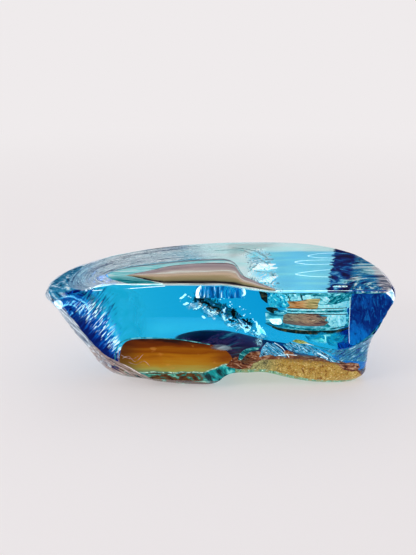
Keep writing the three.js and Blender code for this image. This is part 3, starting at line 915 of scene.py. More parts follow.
# an outline in x and z (or x and y) pulled along the third axis
def prismMesh(name, outline, low, high, axis="y"):
    flat = np.asarray(outline, float)
    rings = []
    for level in (low, high):
        rest = np.full(len(flat), level)
        columns = (flat[:, 0], rest, flat[:, 1]) if axis == "y" else (flat[:, 0], flat[:, 1], rest)
        rings.append(np.stack(columns, axis=1))
    count = len(flat)
    points = np.concatenate(rings)
    faces = [tuple(range(count)), tuple(range(2 * count - 1, count - 1, -1))]
    faces += [(k, k + count, (k + 1) % count + count, (k + 1) % count) for k in range(count)]
    return solidMesh(name, points, faces)


def prismTool(name, outline, steps, low, high, axis="y"):  # an outline with steps is rounded
    curve = closedCurve(outline, steps) if steps else outline
    return tool(name + "_prism", prismMesh(name + "_prism", curve, low, high, axis))


leafReach = (-20, 45)  # from the front, wide enough for every leaf


# a leaf of glass under the front, at a depth from it
def frontLeaf(name, outline, depth, thickness, steps=0, *more):
    prism = prismTool(name, outline, steps, frontY + leafReach[0], frontY + leafReach[1])
    layer = [("INTERSECT", coreAt(depth)), ("DIFFERENCE", coreAt(depth + thickness))]
    return carve(name, prism, ("INTERSECT", core), *layer, *more)


shardLeaf = {"front": 0.05, "behind": 0.25, "thickness": 0.7}
behindShards = ("fume_patch", "copper_shard", "red_shoulder")
shards = {
    "ice_shard_left": {"slot": "ice_glass", "outline": [
        (19.5, 17.2), (20.9, 22.1), (23.3, 25.1), (25.2, 24.2), (26.8, 24.6), (30.3, 21.6), (33.5, 16.7),
        (29.4, 17.8), (27.6, 17.4), (24.9, 18.6)]},
    "ice_shard_right": {"slot": "ice_glass", "outline": [
        (31.3, 23.7), (34.7, 25.1), (39.7, 24.0), (42.6, 24.0), (45.7, 22.7), (50.8, 20.5), (56.0, 16.7),
        (60.7, 12.9), (55.1, 14.0), (52.0, 16.0), (49.0, 16.7), (45.6, 19.0), (42.9, 18.9), (37.9, 19.7),
        (33.8, 21.0)]},
    "green_chip": {"slot": "lime_glass", "outline": [
        (35.7, 25.7), (37.6, 26.7), (41.1, 26.1), (44.2, 24.5), (39.7, 24.4)]},
    "red_chip": {"slot": "copper_glass", "outline": [
        (31.4, 20.0), (33.3, 20.9), (36.3, 19.6), (37.9, 17.4), (34.5, 16.6)]},
    "teal_curl": {"slot": "teal_glass", "outline": [
        (8.9, 15.4), (9.8, 18.8), (12.4, 21.3), (16.0, 22.3), (20.2, 22.8), (19.0, 21.2), (15.2, 20.0),
        (12.8, 18.2), (10.8, 15.6)]},
    "copper_shard": {"slot": "copper_glass", "outline": [
        (3.0, 12.3), (5.5, 15.4), (7.4, 17.0), (9.8, 17.2), (10.4, 14.6), (13.6, 13.0), (16.8, 14.0),
        (15.1, 11.2), (10.1, 10.4), (6.0, 11.2)]},
    "copper_toe": {"slot": "copper_glass", "outline": [
        (58.8, 12.6), (62.1, 12.4), (66.2, 12.6), (70.3, 11.2), (71.4, 8.5), (68.0, 6.8), (62.9, 8.5)]},
    "fume_patch": {"slot": "fume_glass", "steps": 40, "outline": [
        (-5.0, 22.9), (-1.0, 24.3), (3.9, 23.5), (6.4, 21.6), (3.0, 20.0), (-3.0, 20.8)]},
    "red_shoulder": {"slot": "copper_glass", "outline": [
        (12.0, 17.0), (14.6, 19.6), (19.6, 20.2), (22.9, 18.2), (28.9, 17.4), (30.2, 15.6), (24.0, 15.4),
        (17.0, 15.6)]},
}
smear = {"x": 0.8, "z": 22.2, "halfLength": 6.4, "halfHeight": 1.9, "slope": -0.08}


def smearGlass():
    paint = Paint("smearGlass")
    x, _, z = paint.parts(paint.place())
    grain = paint.grain((0.1, 0.3, 0.5), 3.0, 0.6, turn=(0, 8, 0))
    colour = paint.ramp(grain, [
        (0.36, (78, 84, 100)), (0.5, (112, 128, 138)), (0.62, (166, 180, 184)),
    ])
    along = (x - smear["x"]) / smear["halfLength"]
    across = (z - smear["z"] - (x - smear["x"]) * smear["slope"]) / smear["halfHeight"]
    away = (along * along + across * across).root()
    return inner(paint, colour, Alpha=(1 - (away + (grain - 0.5)).rise(0.3, 1.0)) * 0.9)


def iceGlass():
    paint = Paint("iceGlass")
    line = paint.grain((0.3, 0.3, 2.4), 4.0, 0.9, 0.6, turn=(0, -34, 0))
    colour = paint.ramp(line, [
        (0.4, (1, 24, 50)), (0.44, (6, 84, 124)), (0.48, (44, 158, 200)), (0.52, (14, 110, 156)),
        (0.56, (66, 180, 216)), (0.6, (20, 120, 166)), (0.65, (150, 226, 244)), (0.7, (236, 250, 252)),
    ])
    field = paint.grain((0.05, 0.1, 0.5), 2.0, 0.6, turn=(0, -34, 0))
    colour = paint.mix(field.contour(0.055, 0.012), colour, linear(2, 30, 58))
    colour = paint.mix((field + 0.02).contour(0.11, 0.009), colour, linear(206, 244, 252))
    return inner(paint, colour, 0.85, Roughness=0.25)


def flatGlass(name, stops, scale, turn=0.0, twist=0.8):  # a marbled finish from a few colours
    paint = Paint(name)
    grain = paint.grain(scale, 4.0, twist, 0.6, turn=(0, turn, 0))
    return inner(paint, paint.ramp(grain, stops))


shardFinishes = {
    "ice_glass": iceGlass(),
    "lime_glass": flatGlass("limeGlass", [
        (0.35, (60, 84, 40)), (0.5, (150, 160, 80)), (0.62, (206, 200, 128)),
    ], (0.5, 0.5, 1.2), 20),
    "copper_glass": flatGlass("shardCopper", [
        (0.36, (40, 16, 12)), (0.45, (92, 42, 28)), (0.54, (132, 76, 46)), (0.64, (184, 150, 122)),
    ], (0.3, 0.4, 0.8), -18),
    "teal_glass": flatGlass("curlTeal", [
        (0.36, (2, 50, 60)), (0.46, (8, 96, 106)), (0.55, (30, 136, 140)), (0.65, (150, 206, 196)),
    ], (0.3, 0.3, 0.9), -30),
    "fume_glass": smearGlass(),
}
for name, shard in shards.items():
    depth = shardLeaf["behind"] if name in behindShards else shardLeaf["front"]
    leaf = frontLeaf(name + "_leaf", shard["outline"], depth, shardLeaf["thickness"], shard.get("steps", 0))
    nodes = [name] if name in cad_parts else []
    dress(leaf, shardFinishes[shard["slot"]], shard["slot"], *nodes)
print("shards made")


# Films just under the cast ends: navy painted shade, paler glass and white painted highlights

underNose = (0.7, 0.3, -0.9)  # how far the core moves to end below the films over the left tip
films = {
    "navy_pool_right": {"slot": "sea_glass", "depth": 0.5, "steps": 90, "outline": [
        (64.5, 53.0), (68.0, 53.6), (75.4, 53.6), (79.9, 52.4), (82.4, 49.6), (83.9, 46.0), (82.9, 42.2),
        (79.9, 37.4), (76.9, 33.2), (74.0, 28.9), (70.5, 25.6), (66.5, 23.6), (64.5, 24.2), (63.8, 28.6),
        (63.8, 37.3), (63.8, 45.5)]},
    "navy_pool_left": {"slot": "sea_glass", "depth": 0.5, "under": underNose, "steps": 70, "outline": [
        (-84.0, 52.4), (-73.0, 53.0), (-54.0, 53.0), (-38.0, 46.0), (-33.0, 36.0), (-31.0, 28.0),
        (-34.5, 20.0), (-42.6, 7.5), (-48.0, 6.5), (-60.0, 13.3), (-70.0, 23.5), (-80.0, 36.0),
        (-86.0, 46.5)]},
    "right_skirt": {"slot": "ice_glass", "depth": 0.12, "steps": 90, "outline": [
        (44.6, 24.0), (47.4, 22.8), (53.1, 21.2), (59.5, 20.3), (63.3, 21.0), (68.9, 24.0), (75.4, 29.4),
        (77.4, 24.0), (76.4, 17.8), (75.6, 11.2), (68.1, 13.4), (63.4, 13.8), (61.4, 13.6), (57.0, 17.4),
        (51.8, 21.0)]},
    "left_skirt": {"slot": "fume_glass", "depth": 0.12, "steps": 50, "outline": [
        (-63.6, 23.7), (-57.6, 18.4), (-53.0, 15.6), (-49.7, 14.0), (-44.7, 11.4), (-40.3, 8.4),
        (-33.6, 4.4), (-42.0, 1.0), (-56.2, 4.8), (-62.6, 10.3), (-66.9, 16.2)]},
    "left_strip": {"slot": "fume_glass", "depth": 0.12, "steps": 70, "outline": [
        (-86.8, 49.6), (-79.2, 46.4), (-73.7, 39.6), (-67.3, 30.0), (-60.3, 20.4), (-54.4, 11.8),
        (-60.6, 9.0), (-69.7, 18.0), (-77.2, 28.3), (-83.5, 37.8), (-88.0, 46.0)]},
    "glint_left": {"slot": "ice_glass", "depth": 0.12, "steps": 24, "outline": [
        (-81.0, 46.4), (-79.4, 47.4), (-77.4, 46.8), (-76.9, 44.8), (-78.2, 43.0), (-80.4, 44.0)]},
    "glint_right": {"slot": "ice_glass", "depth": 0.12, "steps": 24, "outline": [
        (80.6, 51.4), (84.0, 51.4), (84.9, 49.4), (84.6, 46.9), (82.9, 49.0)]},
}
filmThickness = 0.3

# the line that the left pool's width is measured from, and how wide it is at two heights
poolEdge = {
    "x": -84.0, "z": 50.0, "slope": 1.11, "length": 1.494,
    "low": 4.5, "high": 13.5, "from": 14.0, "over": 38.0,
}


def leftPool():  # painted shade: navy towards the cast end, breaking up into slanting pale strokes of painted light
    paint = Paint("leftPool")
    place = paint.place()
    x, _, z = paint.parts(place)
    reach = ((x - poolEdge["x"]) * poolEdge["slope"] + (z - poolEdge["z"])) / poolEdge["length"]
    widening = (poolEdge["high"] - poolEdge["low"]) / poolEdge["over"]
    wide = poolEdge["low"] + (z - poolEdge["from"]) * widening
    stroke = paint.grain((0.16, 0.2, 1.15), 2.5, 0.35, 0.55, turn=(0, 50, 0))
    fine = paint.grain((0.26, 0.3, 2.3), 2.0, 0.3, turn=(0, 46, 0))
    cloud = paint.noise(place, 0.16, 3.0, 1.2)
    share = reach / wide
    level = share * 0.5 + (stroke - 0.5) * 1.5 + (cloud - 0.5) * 0.9
    colour = paint.ramp(level, [
        (0.02, (1, 20, 84)), (0.22, (2, 40, 120)), (0.36, (3, 84, 168)), (0.5, (1, 60, 140)),
        (0.64, (14, 140, 208)), (0.88, (90, 196, 236)),
    ])
    away = (x + 74.0) * (x + 74.0) + (z - 40.0) * (z - 40.0)
    ring = paint.noise(paint.joined(away.root() * 0.34, stroke * 1.2, cloud), 1.0, 4.0, 0.4, 0.6)
    swirl = paint.ramp(ring, [
        (0.4, (0, 8, 50)), (0.47, (1, 26, 100)), (0.51, (4, 84, 166)), (0.54, (1, 24, 96)),
        (0.59, (10, 120, 200)), (0.64, (120, 214, 244)),
    ])
    colour = paint.mix(z.rise(35.0, 42.0) * 0.9, colour, swirl)
    # painted highlights: slanting pale dashes where light comes through the ripples
    dash = fine.rise(0.565, 0.6) * share.band(0.86, 0.2, 0.4) * (1 - z.rise(43.0, 48.0))
    colour = paint.mix(dash, colour, (0.72, 1.0, 1.0))
    body = 1 - (share + (stroke - 0.5) * 3.0).rise(0.7, 1.6)
    sea = paint.ramp(cloud, [(0.35, (18, 148, 180)), (0.65, (32, 157, 190))])
    colour = paint.mix(body.most(dash), sea, colour)
    cover = 1 - (share + (cloud - 0.5) * 0.6).rise(1.9, 2.7)
    return inner(paint, colour, 0.9, Alpha=cover)


# painted shade: navy where the cast end looks dark through the long path in the glass, with paler and
# darker specks
def navyGlass():
    paint = Paint("navyGlass")
    _, _, z = paint.parts(paint.place())
    cloud = paint.grain((0.12, 0.1, 0.08), 5.0, 1.4, 0.6, turn=(0, 35, 0))
    level = (z - 20.0) / 34.0 + (cloud - 0.5) * 1.5
    colour = paint.ramp(level, [
        (0.0, (4, 120, 196)), (0.25, (2, 84, 166)), (0.5, (1, 48, 126)), (0.75, (1, 34, 110)),
        (1.0, (2, 70, 150)),
    ])
    speck = paint.grain((0.5, 0.5, 0.2), 5.0, 1.2, 0.65, turn=(0, 12, 0))
    colour = paint.mix(speck.rise(0.52, 0.64) * 0.65, colour, linear(16, 118, 196))
    colour = paint.mix((1 - speck.rise(0.36, 0.46)) * 0.7, colour, linear(0, 20, 84))
    return inner(paint, colour, Alpha=(0.8 + 0.3 * cloud).least(0.96))


def skirtGlass(name, stops, scale, turn, alpha):
    paint = Paint(name)
    line = paint.grain(scale, 4.0, 0.6, 0.62, turn=(0, turn, 0))
    cover = line.rise(0.36, 0.56) * alpha + (1 - alpha) * 0.5
    return inner(paint, paint.ramp(line, stops), Alpha=cover)


# painted highlights: white films where a window shows at the left nose and the right corner
def glintGlass():
    paint = Paint("glintGlass")
    grain = paint.grain((0.5, 0.5, 0.25), 3.0, 0.4, turn=(0, 20, 0))
    colour = paint.ramp(grain, [
        (0.36, (150, 190, 220)), (0.5, (226, 236, 244)), (0.6, (252, 252, 252)),
    ])
    return inner(paint, colour, 1.1, Roughness=0.2)


filmFinishes = {
    "glint_left": glintGlass(),
    "glint_right": glintGlass(),
    "navy_pool_left": leftPool(),
    "navy_pool_right": navyGlass(),
    "right_skirt": skirtGlass("rightSkirt", [
        (0.36, (4, 56, 80)), (0.44, (12, 100, 126)), (0.5, (60, 136, 172)), (0.55, (20, 110, 130)),
        (0.6, (110, 174, 208)), (0.68, (206, 228, 240)),
    ], (0.2, 0.3, 0.7), 38, 1.0),
    "left_skirt": skirtGlass("leftSkirt", [
        (0.38, (74, 52, 46)), (0.45, (134, 110, 104)), (0.52, (176, 156, 150)), (0.57, (120, 96, 92)),
        (0.64, (226, 216, 214)),
    ], (0.1, 0.3, 1.5), -31, 0.95),
    "left_strip": skirtGlass("leftStrip", [
        (0.36, (84, 108, 136)), (0.46, (146, 158, 172)), (0.56, (196, 202, 210)), (0.68, (230, 232, 236)),
    ], (0.12, 0.3, 1.4), -49, 0.95),
}
for name, film in films.items():
    clear = [("DIFFERENCE", lobeCut)] if film["depth"] > massDepth else []
    if "under" in film:
        clear.append(("INTERSECT", coreAt(film["under"])))
    piece = frontLeaf(name, film["outline"], film["depth"], filmThickness, film["steps"], *clear)
    dress(piece, filmFinishes[name], film["slot"])


def depthHaze():  # the lower sea a little paler, from a soft line down
    paint = Paint("depthHaze")
    x, _, z = paint.parts(paint.place())
    cloud = paint.grain((0.02, 0.1, 0.12), 2.0, 0.4, turn=(0, -2, 0))
    colour = paint.ramp(cloud, [(0.4, (200, 220, 240)), (0.6, (255, 255, 255))])
    low = 1 - (z + (cloud - 0.5) * 6.0).rise(22.6, 23.8)
    cover = low * 0.13 * x.rise(-45.0, -30.0) * (1 - x.rise(-4.0, 34.0) * 0.6)
    return inner(paint, colour, 1.0, Alpha=cover)


def shoalGlass():
    paint = Paint("shoalGlass")
    bubble = paint.grain((0.18, 0.2, 0.26), 3.0, 1.2)
    colour = paint.ramp(bubble, [
        (0.38, (2, 96, 130)), (0.47, (4, 140, 180)), (0.54, (10, 120, 140)), (0.6, (70, 196, 204)),
        (0.68, (190, 240, 240)),
    ])
    x, _, z = paint.parts(paint.place())
    along, above = (x - 53.0) / 12.0, (z - 27.0) / 4.0
    away = (along * along + above * above).root()
    cover = (1 - (away + (bubble - 0.5) * 2.0).rise(0.4, 1.0)) * 0.8
    return inner(paint, colour, 0.9, Alpha=cover)


for name, finish, outline, depth in (
    ("depth_haze", depthHaze(), [(-46.0, 26.0), (60.0, 26.0), (60.0, 8.0), (-46.0, 8.0)], 38.0),
    ("shoal", shoalGlass(), [(40.0, 30.5), (63.0, 31.5), (63.4, 23.0), (52.0, 23.0), (44.0, 26.0)], 0.5),
):
    dress(frontLeaf(name, outline, depth, filmThickness), finish, "sea_glass")
print("films made")


# Plates in the top, outlines as [x, y]; each plate keeps its share along and across as its own numbers

# from an outer line to an inner one, the far side at a shift
def stripMesh(name, outer, inside, rows, shift):
    shares = np.linspace(0, 1, rows + 1)
    count = len(outer)
    top = np.array([[(1 - t) * a + t * b for t in shares] for a, b in zip(outer, inside)]).reshape(-1, 3)
    low = top + shift
    wide = rows + 1
    half = count * wide
    faces = []
    for i in range(count - 1):
        for j in range(rows):
            a, b = i * wide + j, (i + 1) * wide + j
            faces += [(a, b, b + 1, a + 1), (half + a + 1, half + b + 1, half + b, half + a)]
        a, b = i * wide, (i + 1) * wide
        faces += [(half + a, half + b, b, a), (a + rows, b + rows, half + b + rows, half + a + rows)]
    for j in range(rows):
        a = (count - 1) * wide + j
        faces += [(j, j + 1, half + j + 1, half + j), (half + a, half + a + 1, a + 1, a)]
    mesh = solidMesh(name, np.concatenate([top, low]), faces)
    run = np.concatenate([[0], np.cumsum(np.linalg.norm(np.diff(outer, axis=0), axis=1))])
    numbers = np.array([(u, t, 0) for u in run for t in shares], np.float32)
    layer = mesh.attributes.new("plate", "FLOAT_VECTOR", "POINT")
    layer.data.foreach_set("vector", np.concatenate([numbers, numbers]).ravel())
    return mesh


def lineThrough(points, steps):  # smooth open line through points
    return splineRows(np.array(points, float), np.linspace(0, 1, steps))


def atHeight(line, z):
    return np.column_stack([line[:, 0], line[:, 1], np.full(len(line), z)])


sandVeil = {
    "back": [
        (-48.7, -18.9), (-36.4, -10.7), (-27.3, -3.8), (-17.8, 0.0), (-8.2, 2.0), (1.2, 2.4), (5.6, 1.4),
        (8.4, -2.6), (10.2, -12.2), (12.0, -19.4), (15.8, -25.2), (20.9, -32.9), (26.6, -39.4)],
    "front": [(-48.7, -18.9), (-43.3, -21.8), (-35.2, -27.4), (-32.6, -29.7), (-28.4, -32.0)],
    "level": 51.95, "thickness": 0.25, "steps": 260, "rows": 40, "inset": 0.35,
}
tealMargin = {
    "back": [
        (-58.0, -17.6), (-54.7, -10.7), (-49.0, -5.2), (-42.6, -1.6), (-34.0, 1.8), (-18.0, 7.4),
        (-5.0, 10.0), (4.0, 9.4), (8.6, 2.0), (11.4, -14.0), (14.4, -24.4), (22.6, -33.6), (27.6, -41.0)],
    "front": [(-58.0, -17.6), (-55.6, -24.0), (-48.6, -30.0), (-43.0, -33.6)],
    "level": 51.55, "thickness": 0.25, "steps": 260, "rows": 24, "inset": 0.5,
}


def frontEdge(x, inset):  # where the top meets the front
    return frontY + leanAt(x) + inset


def plateBetween(name, plate):
    back, front = plate["back"], plate["front"]
    backLine = lineThrough(back, 600)
    frontLine = lineThrough(front, 300)
    x = np.linspace(back[0][0], back[-1][0], plate["steps"])
    yBack = np.interp(x, backLine[:, 0], backLine[:, 1])
    edge = frontEdge(x, plate["inset"])
    inward = np.maximum(np.interp(x, frontLine[:, 0], frontLine[:, 1]), edge)
    yFront = np.minimum(np.where(x < front[-1][0], inward, edge), yBack - 0.02)
    outer = atHeight(np.column_stack([x, yBack]), plate["level"])
    inside = atHeight(np.column_stack([x, yFront]), plate["level"])
    return stripMesh(name, outer, inside, plate["rows"], (0, 0, -plate["thickness"]))


# the base colour that shows as this through the polished top
def underTop(red, green, blue, mirror=0.003, kept=0.72):
    return tuple(min(max((c - mirror) / kept, 0.004), 0.95) for c in linear(red, green, blue))


def flush(paint, colour, glow=0.22, **sockets):  # a finish just under the polished top, lit from above, with a weaker painted glow
    return inner(paint, colour, glow, **sockets)


def sandGlass():
    paint = Paint("sandGlass")
    _, v, _ = paint.along("plate")
    wave = paint.grain((0.03, 0.1, 0.1), 2.0, 0.5)
    fine = paint.grain((0.05, 1.1, 0.3), 3.0, 0.3, turn=(0, 0, 4))
    level = v + (wave - 0.5) * 0.22 + (fine - 0.5) * 0.14
    # the last stop, pale along the front edge, is a painted highlight
    colour = paint.ramp(level, [
        (0.0, (120, 98, 106)), (0.05, (178, 162, 166)), (0.2, (160, 142, 146)), (0.32, (190, 174, 170)),
        (0.38, (226, 218, 210)), (0.45, (192, 172, 158)), (0.54, (204, 182, 160)), (0.64, (172, 152, 118)),
        (0.76, (150, 140, 104)), (0.83, (110, 104, 80)), (0.87, (36, 30, 34)), (0.95, (26, 20, 30)),
        (1.0, (214, 212, 206)),
    ], underTop)
    return flush(paint, colour, Roughness=0.25)


def marginGlass():
    paint = Paint("marginGlass")
    _, v, _ = paint.along("plate")
    x, y, _ = paint.parts(paint.place())
    fine = paint.grain((0.08, 0.6, 0.3), 3.0, 0.6)
    pale = paint.ramp(fine, [
        (0.36, (126, 190, 196)), (0.5, (168, 216, 218)), (0.62, (214, 236, 234)),
    ], underTop)
    dark = paint.ramp(fine, [
        (0.38, (20, 110, 120)), (0.5, (40, 150, 156)), (0.62, (120, 196, 196)),
    ], underTop)
    near = (1 - (y + 0.2 * x).rise(-36.0, -28.0)) * (1 - x.rise(-34.0, -24.0))
    colour = paint.mix(near, pale, dark)
    line = (1 - v.rise(0.05, 0.09)) * x.rise(-57.5, -54.0)
    grey = paint.ramp(fine, [(0.4, (112, 116, 128)), (0.6, (158, 158, 166))], underTop)
    colour = paint.mix(line, colour, grey)
    return flush(paint, colour, Roughness=0.25, Alpha=0.86)


sand = newObject("sand_veil_glass", plateBetween("sand", sandVeil))
dress(sand, sandGlass(), "sand_glass", "sand_veil")
margin = newObject("veil_margin", plateBetween("margin", tealMargin))
dress(margin, marginGlass(), "sand_glass")


# Streaky smoke under the top at the left cast end, between the hull's edge and the veil's margin

smoke = {
    "from": 4.3, "to": 1.45, "inset": 0.9, "frontInset": 0.6, "level": 51.9, "thickness": 0.2,
    "steps": 300, "rows": 24, "smoothing": 21, "fade": (3.0, 110.0, 175.0), "clear": 0.5,
}


def topOutline(angles):  # the hull's edge at the top, drawn in a little
    x, y = section(profileAt(topZ), angles, -smoke["inset"])
    return np.column_stack([x, np.maximum(y, frontEdge(x, smoke["frontInset"]))])


def nearestOn(line, points):
    return np.array([line[np.argmin(((line - p) ** 2).sum(axis=1))] for p in points])


def smoothed(line, width):
    kernel = np.ones(width) / width
    padded = np.pad(line, ((width // 2, width // 2), (0, 0)), mode="edge")
    return np.column_stack([np.convolve(padded[:, k], kernel, "valid") for k in range(2)])


tipBlue = {"span": (-82.0, -56.0), "share": 0.85, "stops": [
    (0.38, (4, 66, 110)), (0.46, (20, 120, 160)), (0.52, (50, 150, 184)), (0.6, (150, 204, 220))]}


def smokeGlass():
    paint = Paint("leftSmoke")
    u, v, _ = paint.along("plate")
    line = paint.noise(paint.joined(u * 0.02, v * 17.0), 1.0, 5.0, 0.4, 0.62)
    tick = paint.noise(paint.joined(u * 0.28, v * 6.0 + u * 0.1, 3.0), 1.0, 3.0, 1.0, 0.6)
    level = line * 0.72 + tick * 0.28
    colour = paint.ramp(level, [
        (0.4, (70, 86, 108)), (0.44, (180, 184, 192)), (0.48, (232, 228, 232)), (0.5, (134, 156, 170)),
        (0.53, (226, 236, 240)), (0.57, (146, 152, 164)), (0.6, (255, 255, 255)),
    ], underTop)
    field = paint.noise(paint.joined(u * 0.012 + v * 0.3, v * 3.6, 5.0), 1.0, 2.0, 0.5)
    dark = field.contour(0.05, 0.008) * tick.rise(0.4, 0.5)
    colour = paint.mix(dark, colour, underTop(70, 84, 104))
    white = (field + 0.016).contour(0.05, 0.007) * line.rise(0.42, 0.5)
    colour = paint.mix(white, colour, underTop(252, 252, 252))
    fade = smoke["fade"]
    ends = u.rise(0.0, fade[0]) * (1 - u.rise(fade[1], fade[2]))
    shade = (level - 0.5).away().rise(0.0, 0.1) * (1 - smoke["clear"]) + smoke["clear"]
    tip = 1 - paint.parts(paint.place())[0].rise(*tipBlue["span"])
    colour = paint.mix(tip * tipBlue["share"], colour, paint.ramp(level, tipBlue["stops"], underTop))
    cover = (shade * ends * (1 - v.rise(0.96, 1.0))).least(0.95)
    return flush(paint, colour, 0.36, Alpha=cover)


hullLine = topOutline(np.linspace(smoke["from"], smoke["to"], smoke["steps"]))
marginLine = lineThrough(tealMargin["front"][::-1] + tealMargin["back"][1:9], 800)
innerLine = smoothed(nearestOn(marginLine, hullLine), smoke["smoothing"])
smokeLines = [atHeight(line, smoke["level"]) for line in (hullLine, innerLine)]
smokeMesh = stripMesh("left_smoke", *smokeLines, smoke["rows"], (0, 0, -smoke["thickness"]))
dress(newObject("left_smoke", smokeMesh), smokeGlass(), "fume_glass")


# the film over the tip, in two halves; each lies between two moved copies of the core
nose = {
    "low": 38.0, "high": 56.0, "left": -92.0, "right": -60.0, "split": -22.0,
    "halves": {
        "nose_back": ((0.3, -0.3, -0.35), (0.5, -0.5, -0.6)),
        "nose_front": ((0.3, 0.2, -0.35), (0.5, 0.35, -0.6)),
    },
}


def noseGlass():  # streaked teal and grey over the rounded left tip
    paint = Paint("noseGlass")
    x, y, z = paint.parts(paint.place())
    line = paint.grain((0.06, 0.4, 0.5), 5.0, 0.5, 0.62, turn=(0, -20, 42))
    colour = paint.ramp(line, [
        (0.37, (2, 44, 84)), (0.44, (14, 104, 146)), (0.49, (60, 146, 178)), (0.53, (20, 110, 150)),
        (0.58, (140, 186, 206)), (0.64, (232, 240, 244)),
    ], underTop)
    grey = paint.ramp(line, [
        (0.38, (80, 104, 132)), (0.5, (150, 164, 182)), (0.6, (226, 232, 238)),
    ], underTop)
    colour = paint.mix((x + 0.5 * y).rise(-76.0, -62.0), colour, grey)
    onFace = 1 - y.rise(-41.5, -39.0)
    left = 1 - (x + onFace * 12.0).rise(-70.0, -61.0)
    high = (z - onFace * 6.0 + (line - 0.5) * 16.0).rise(40.0, 43.0)
    cover = left * high * (0.72 + line * 0.4).least(0.96)
    return flush(paint, colour, 0.3, Alpha=cover)


noseFinish = noseGlass()
noseOutline = [(nose[x], nose[z]) for x, z in (
    ("left", "low"), ("left", "high"), ("right", "high"), ("right", "low"))]
for name, (near, far) in nose["halves"].items():
    span = (frontY - 2, nose["split"]) if name == "nose_front" else (nose["split"] + 0.02, frontY + 90)
    shell = [("INTERSECT", core), ("INTERSECT", coreAt(near)), ("DIFFERENCE", coreAt(far))]
    dress(carve(name, prismTool(name, noseOutline, 0, *span), *shell), noseFinish, "sea_glass")
print("plates in the top made")


# The pale drum seen through the front: walls and leaves on its round face, outlines as [x, z]

drum = {"x": 47.5, "y": -17.5, "radius": 23.0, "around": 120, "low": 20.0, "high": 51.4}


def drumCylinder(radius):
    angles = np.arange(drum["around"]) / drum["around"] * 2 * np.pi
    x = drum["x"] + radius * np.cos(angles)
    y = drum["y"] + radius * np.sin(angles)
    rings = [np.stack([x, y, np.full_like(x, z)], axis=1) for z in (drum["low"], drum["high"])]
    return tool("drumRound", skinOver("drumRound", np.array(rings)))


drumRounds = {}


def drumAt(raised):
    if raised not in drumRounds:
        drumRounds[raised] = drumCylinder(drum["radius"] + raised)
    return drumRounds[raised]


def drumPlate(name, outline, raised, thickness, steps=0):  # a plate on the drum's front
    prism = prismTool(name, outline, steps, frontY - 5, drum["y"] - 2)
    shell = [("INTERSECT", drumAt(raised)), ("DIFFERENCE", drumAt(raised - thickness))]
    return carve(name, prism, *shell, ("INTERSECT", core))


def flatPlate(name, outline, depth, thickness, steps=0):  # an upright plate at a depth behind the front
    near = frontY + depth
    return carve(name, prismTool(name, outline, steps, near, near + thickness), ("INTERSECT", core))


def band(line, width, low=1.0):  # the outline of a tapered band along a line of [x, z]
    rows = np.array(line, float)
    share = np.linspace(0, 1, len(rows))
    half = width / 2 * (low + (1 - low) * np.sin(np.pi * share))
    turn = np.gradient(rows, axis=0)
    side = np.column_stack([-turn[:, 1], turn[:, 0]]) / np.linalg.norm(turn, axis=1)[:, None]
    upper, lower = rows + side * half[:, None], rows - side * half[:, None]
    return [tuple(p) for p in np.concatenate([upper, lower[::-1]])]


def marbled(name, stops, scale, size=1.0, turn=0.0, twist=0.8, alpha=1.0, glow=0.85):
    paint = Paint(name)
    grain = paint.noise(paint.stretched(paint.place(), scale, (0, turn, 0)), size, 4.0, twist, 0.6)
    return inner(paint, paint.ramp(grain, stops), glow, Alpha=alpha)


windowFinishes = {
    "wall": marbled("wallGlass", [
        (0.37, (2, 60, 76)), (0.45, (14, 116, 134)), (0.5, (96, 180, 188)), (0.55, (40, 140, 152)),
        (0.6, (170, 222, 224)), (0.7, (236, 248, 246)),
    ], (0.22, 0.3, 0.5), alpha=0.9),
    "lowWall": marbled("lowWallGlass", [
        (0.38, (2, 84, 110)), (0.46, (20, 126, 150)), (0.53, (84, 168, 182)), (0.6, (140, 200, 208)),
        (0.67, (210, 236, 238)),
    ], (0.1, 0.3, 0.6), alpha=0.9),
    "pale": marbled("palePanel", [
        (0.36, (96, 166, 176)), (0.46, (140, 200, 208)), (0.55, (170, 218, 224)), (0.66, (220, 240, 242)),
    ], (0.5, 0.5, 0.5), 1.2),
    "swirl": marbled("swirlGlass", [
        (0.35, (0, 84, 130)), (0.43, (10, 140, 176)), (0.5, (50, 186, 206)), (0.56, (20, 130, 160)),
        (0.62, (130, 220, 230)), (0.7, (236, 250, 250)),
    ], (0.3, 0.3, 0.3), 0.8, 0, 2.4),
    "teal": marbled("tealWedge", [
        (0.36, (0, 52, 66)), (0.46, (4, 96, 112)), (0.55, (20, 130, 140)), (0.66, (110, 190, 196)),
    ], (0.35, 0.3, 0.9), 1.0, 24),
    "ink": marbled("inkGlass", [
        (0.4, (4, 12, 14)), (0.55, (16, 40, 40)), (0.66, (90, 66, 26)),
    ], (0.4, 0.4, 0.6)),
    # white with a strong painted glow; the blob at the drum's lower left is a painted highlight
    "white": marbled("whiteBlob", [
        (0.36, (120, 206, 236)), (0.46, (220, 242, 248)), (0.6, (250, 254, 254)),
    ], (0.5, 0.5, 0.5), glow=1.5),
}


def leafGlass(name, left, right, edge, turnAt):
    paint = Paint(name)
    x, _, z = paint.parts(paint.place())
    grain = paint.grain((0.2, 0.2, 1.9), 3.0, 0.5, 0.6, turn=(0, -3, 0))
    first = paint.ramp(grain, left)
    second = paint.ramp(grain, right)
    colour = paint.mix(x.rise(turnAt - 4, turnAt + 4), first, second)
    low = 1 - z.rise(edge["from"], edge["to"])
    return inner(paint, paint.mix(low * 0.8, colour, linear(*edge["colour"])))


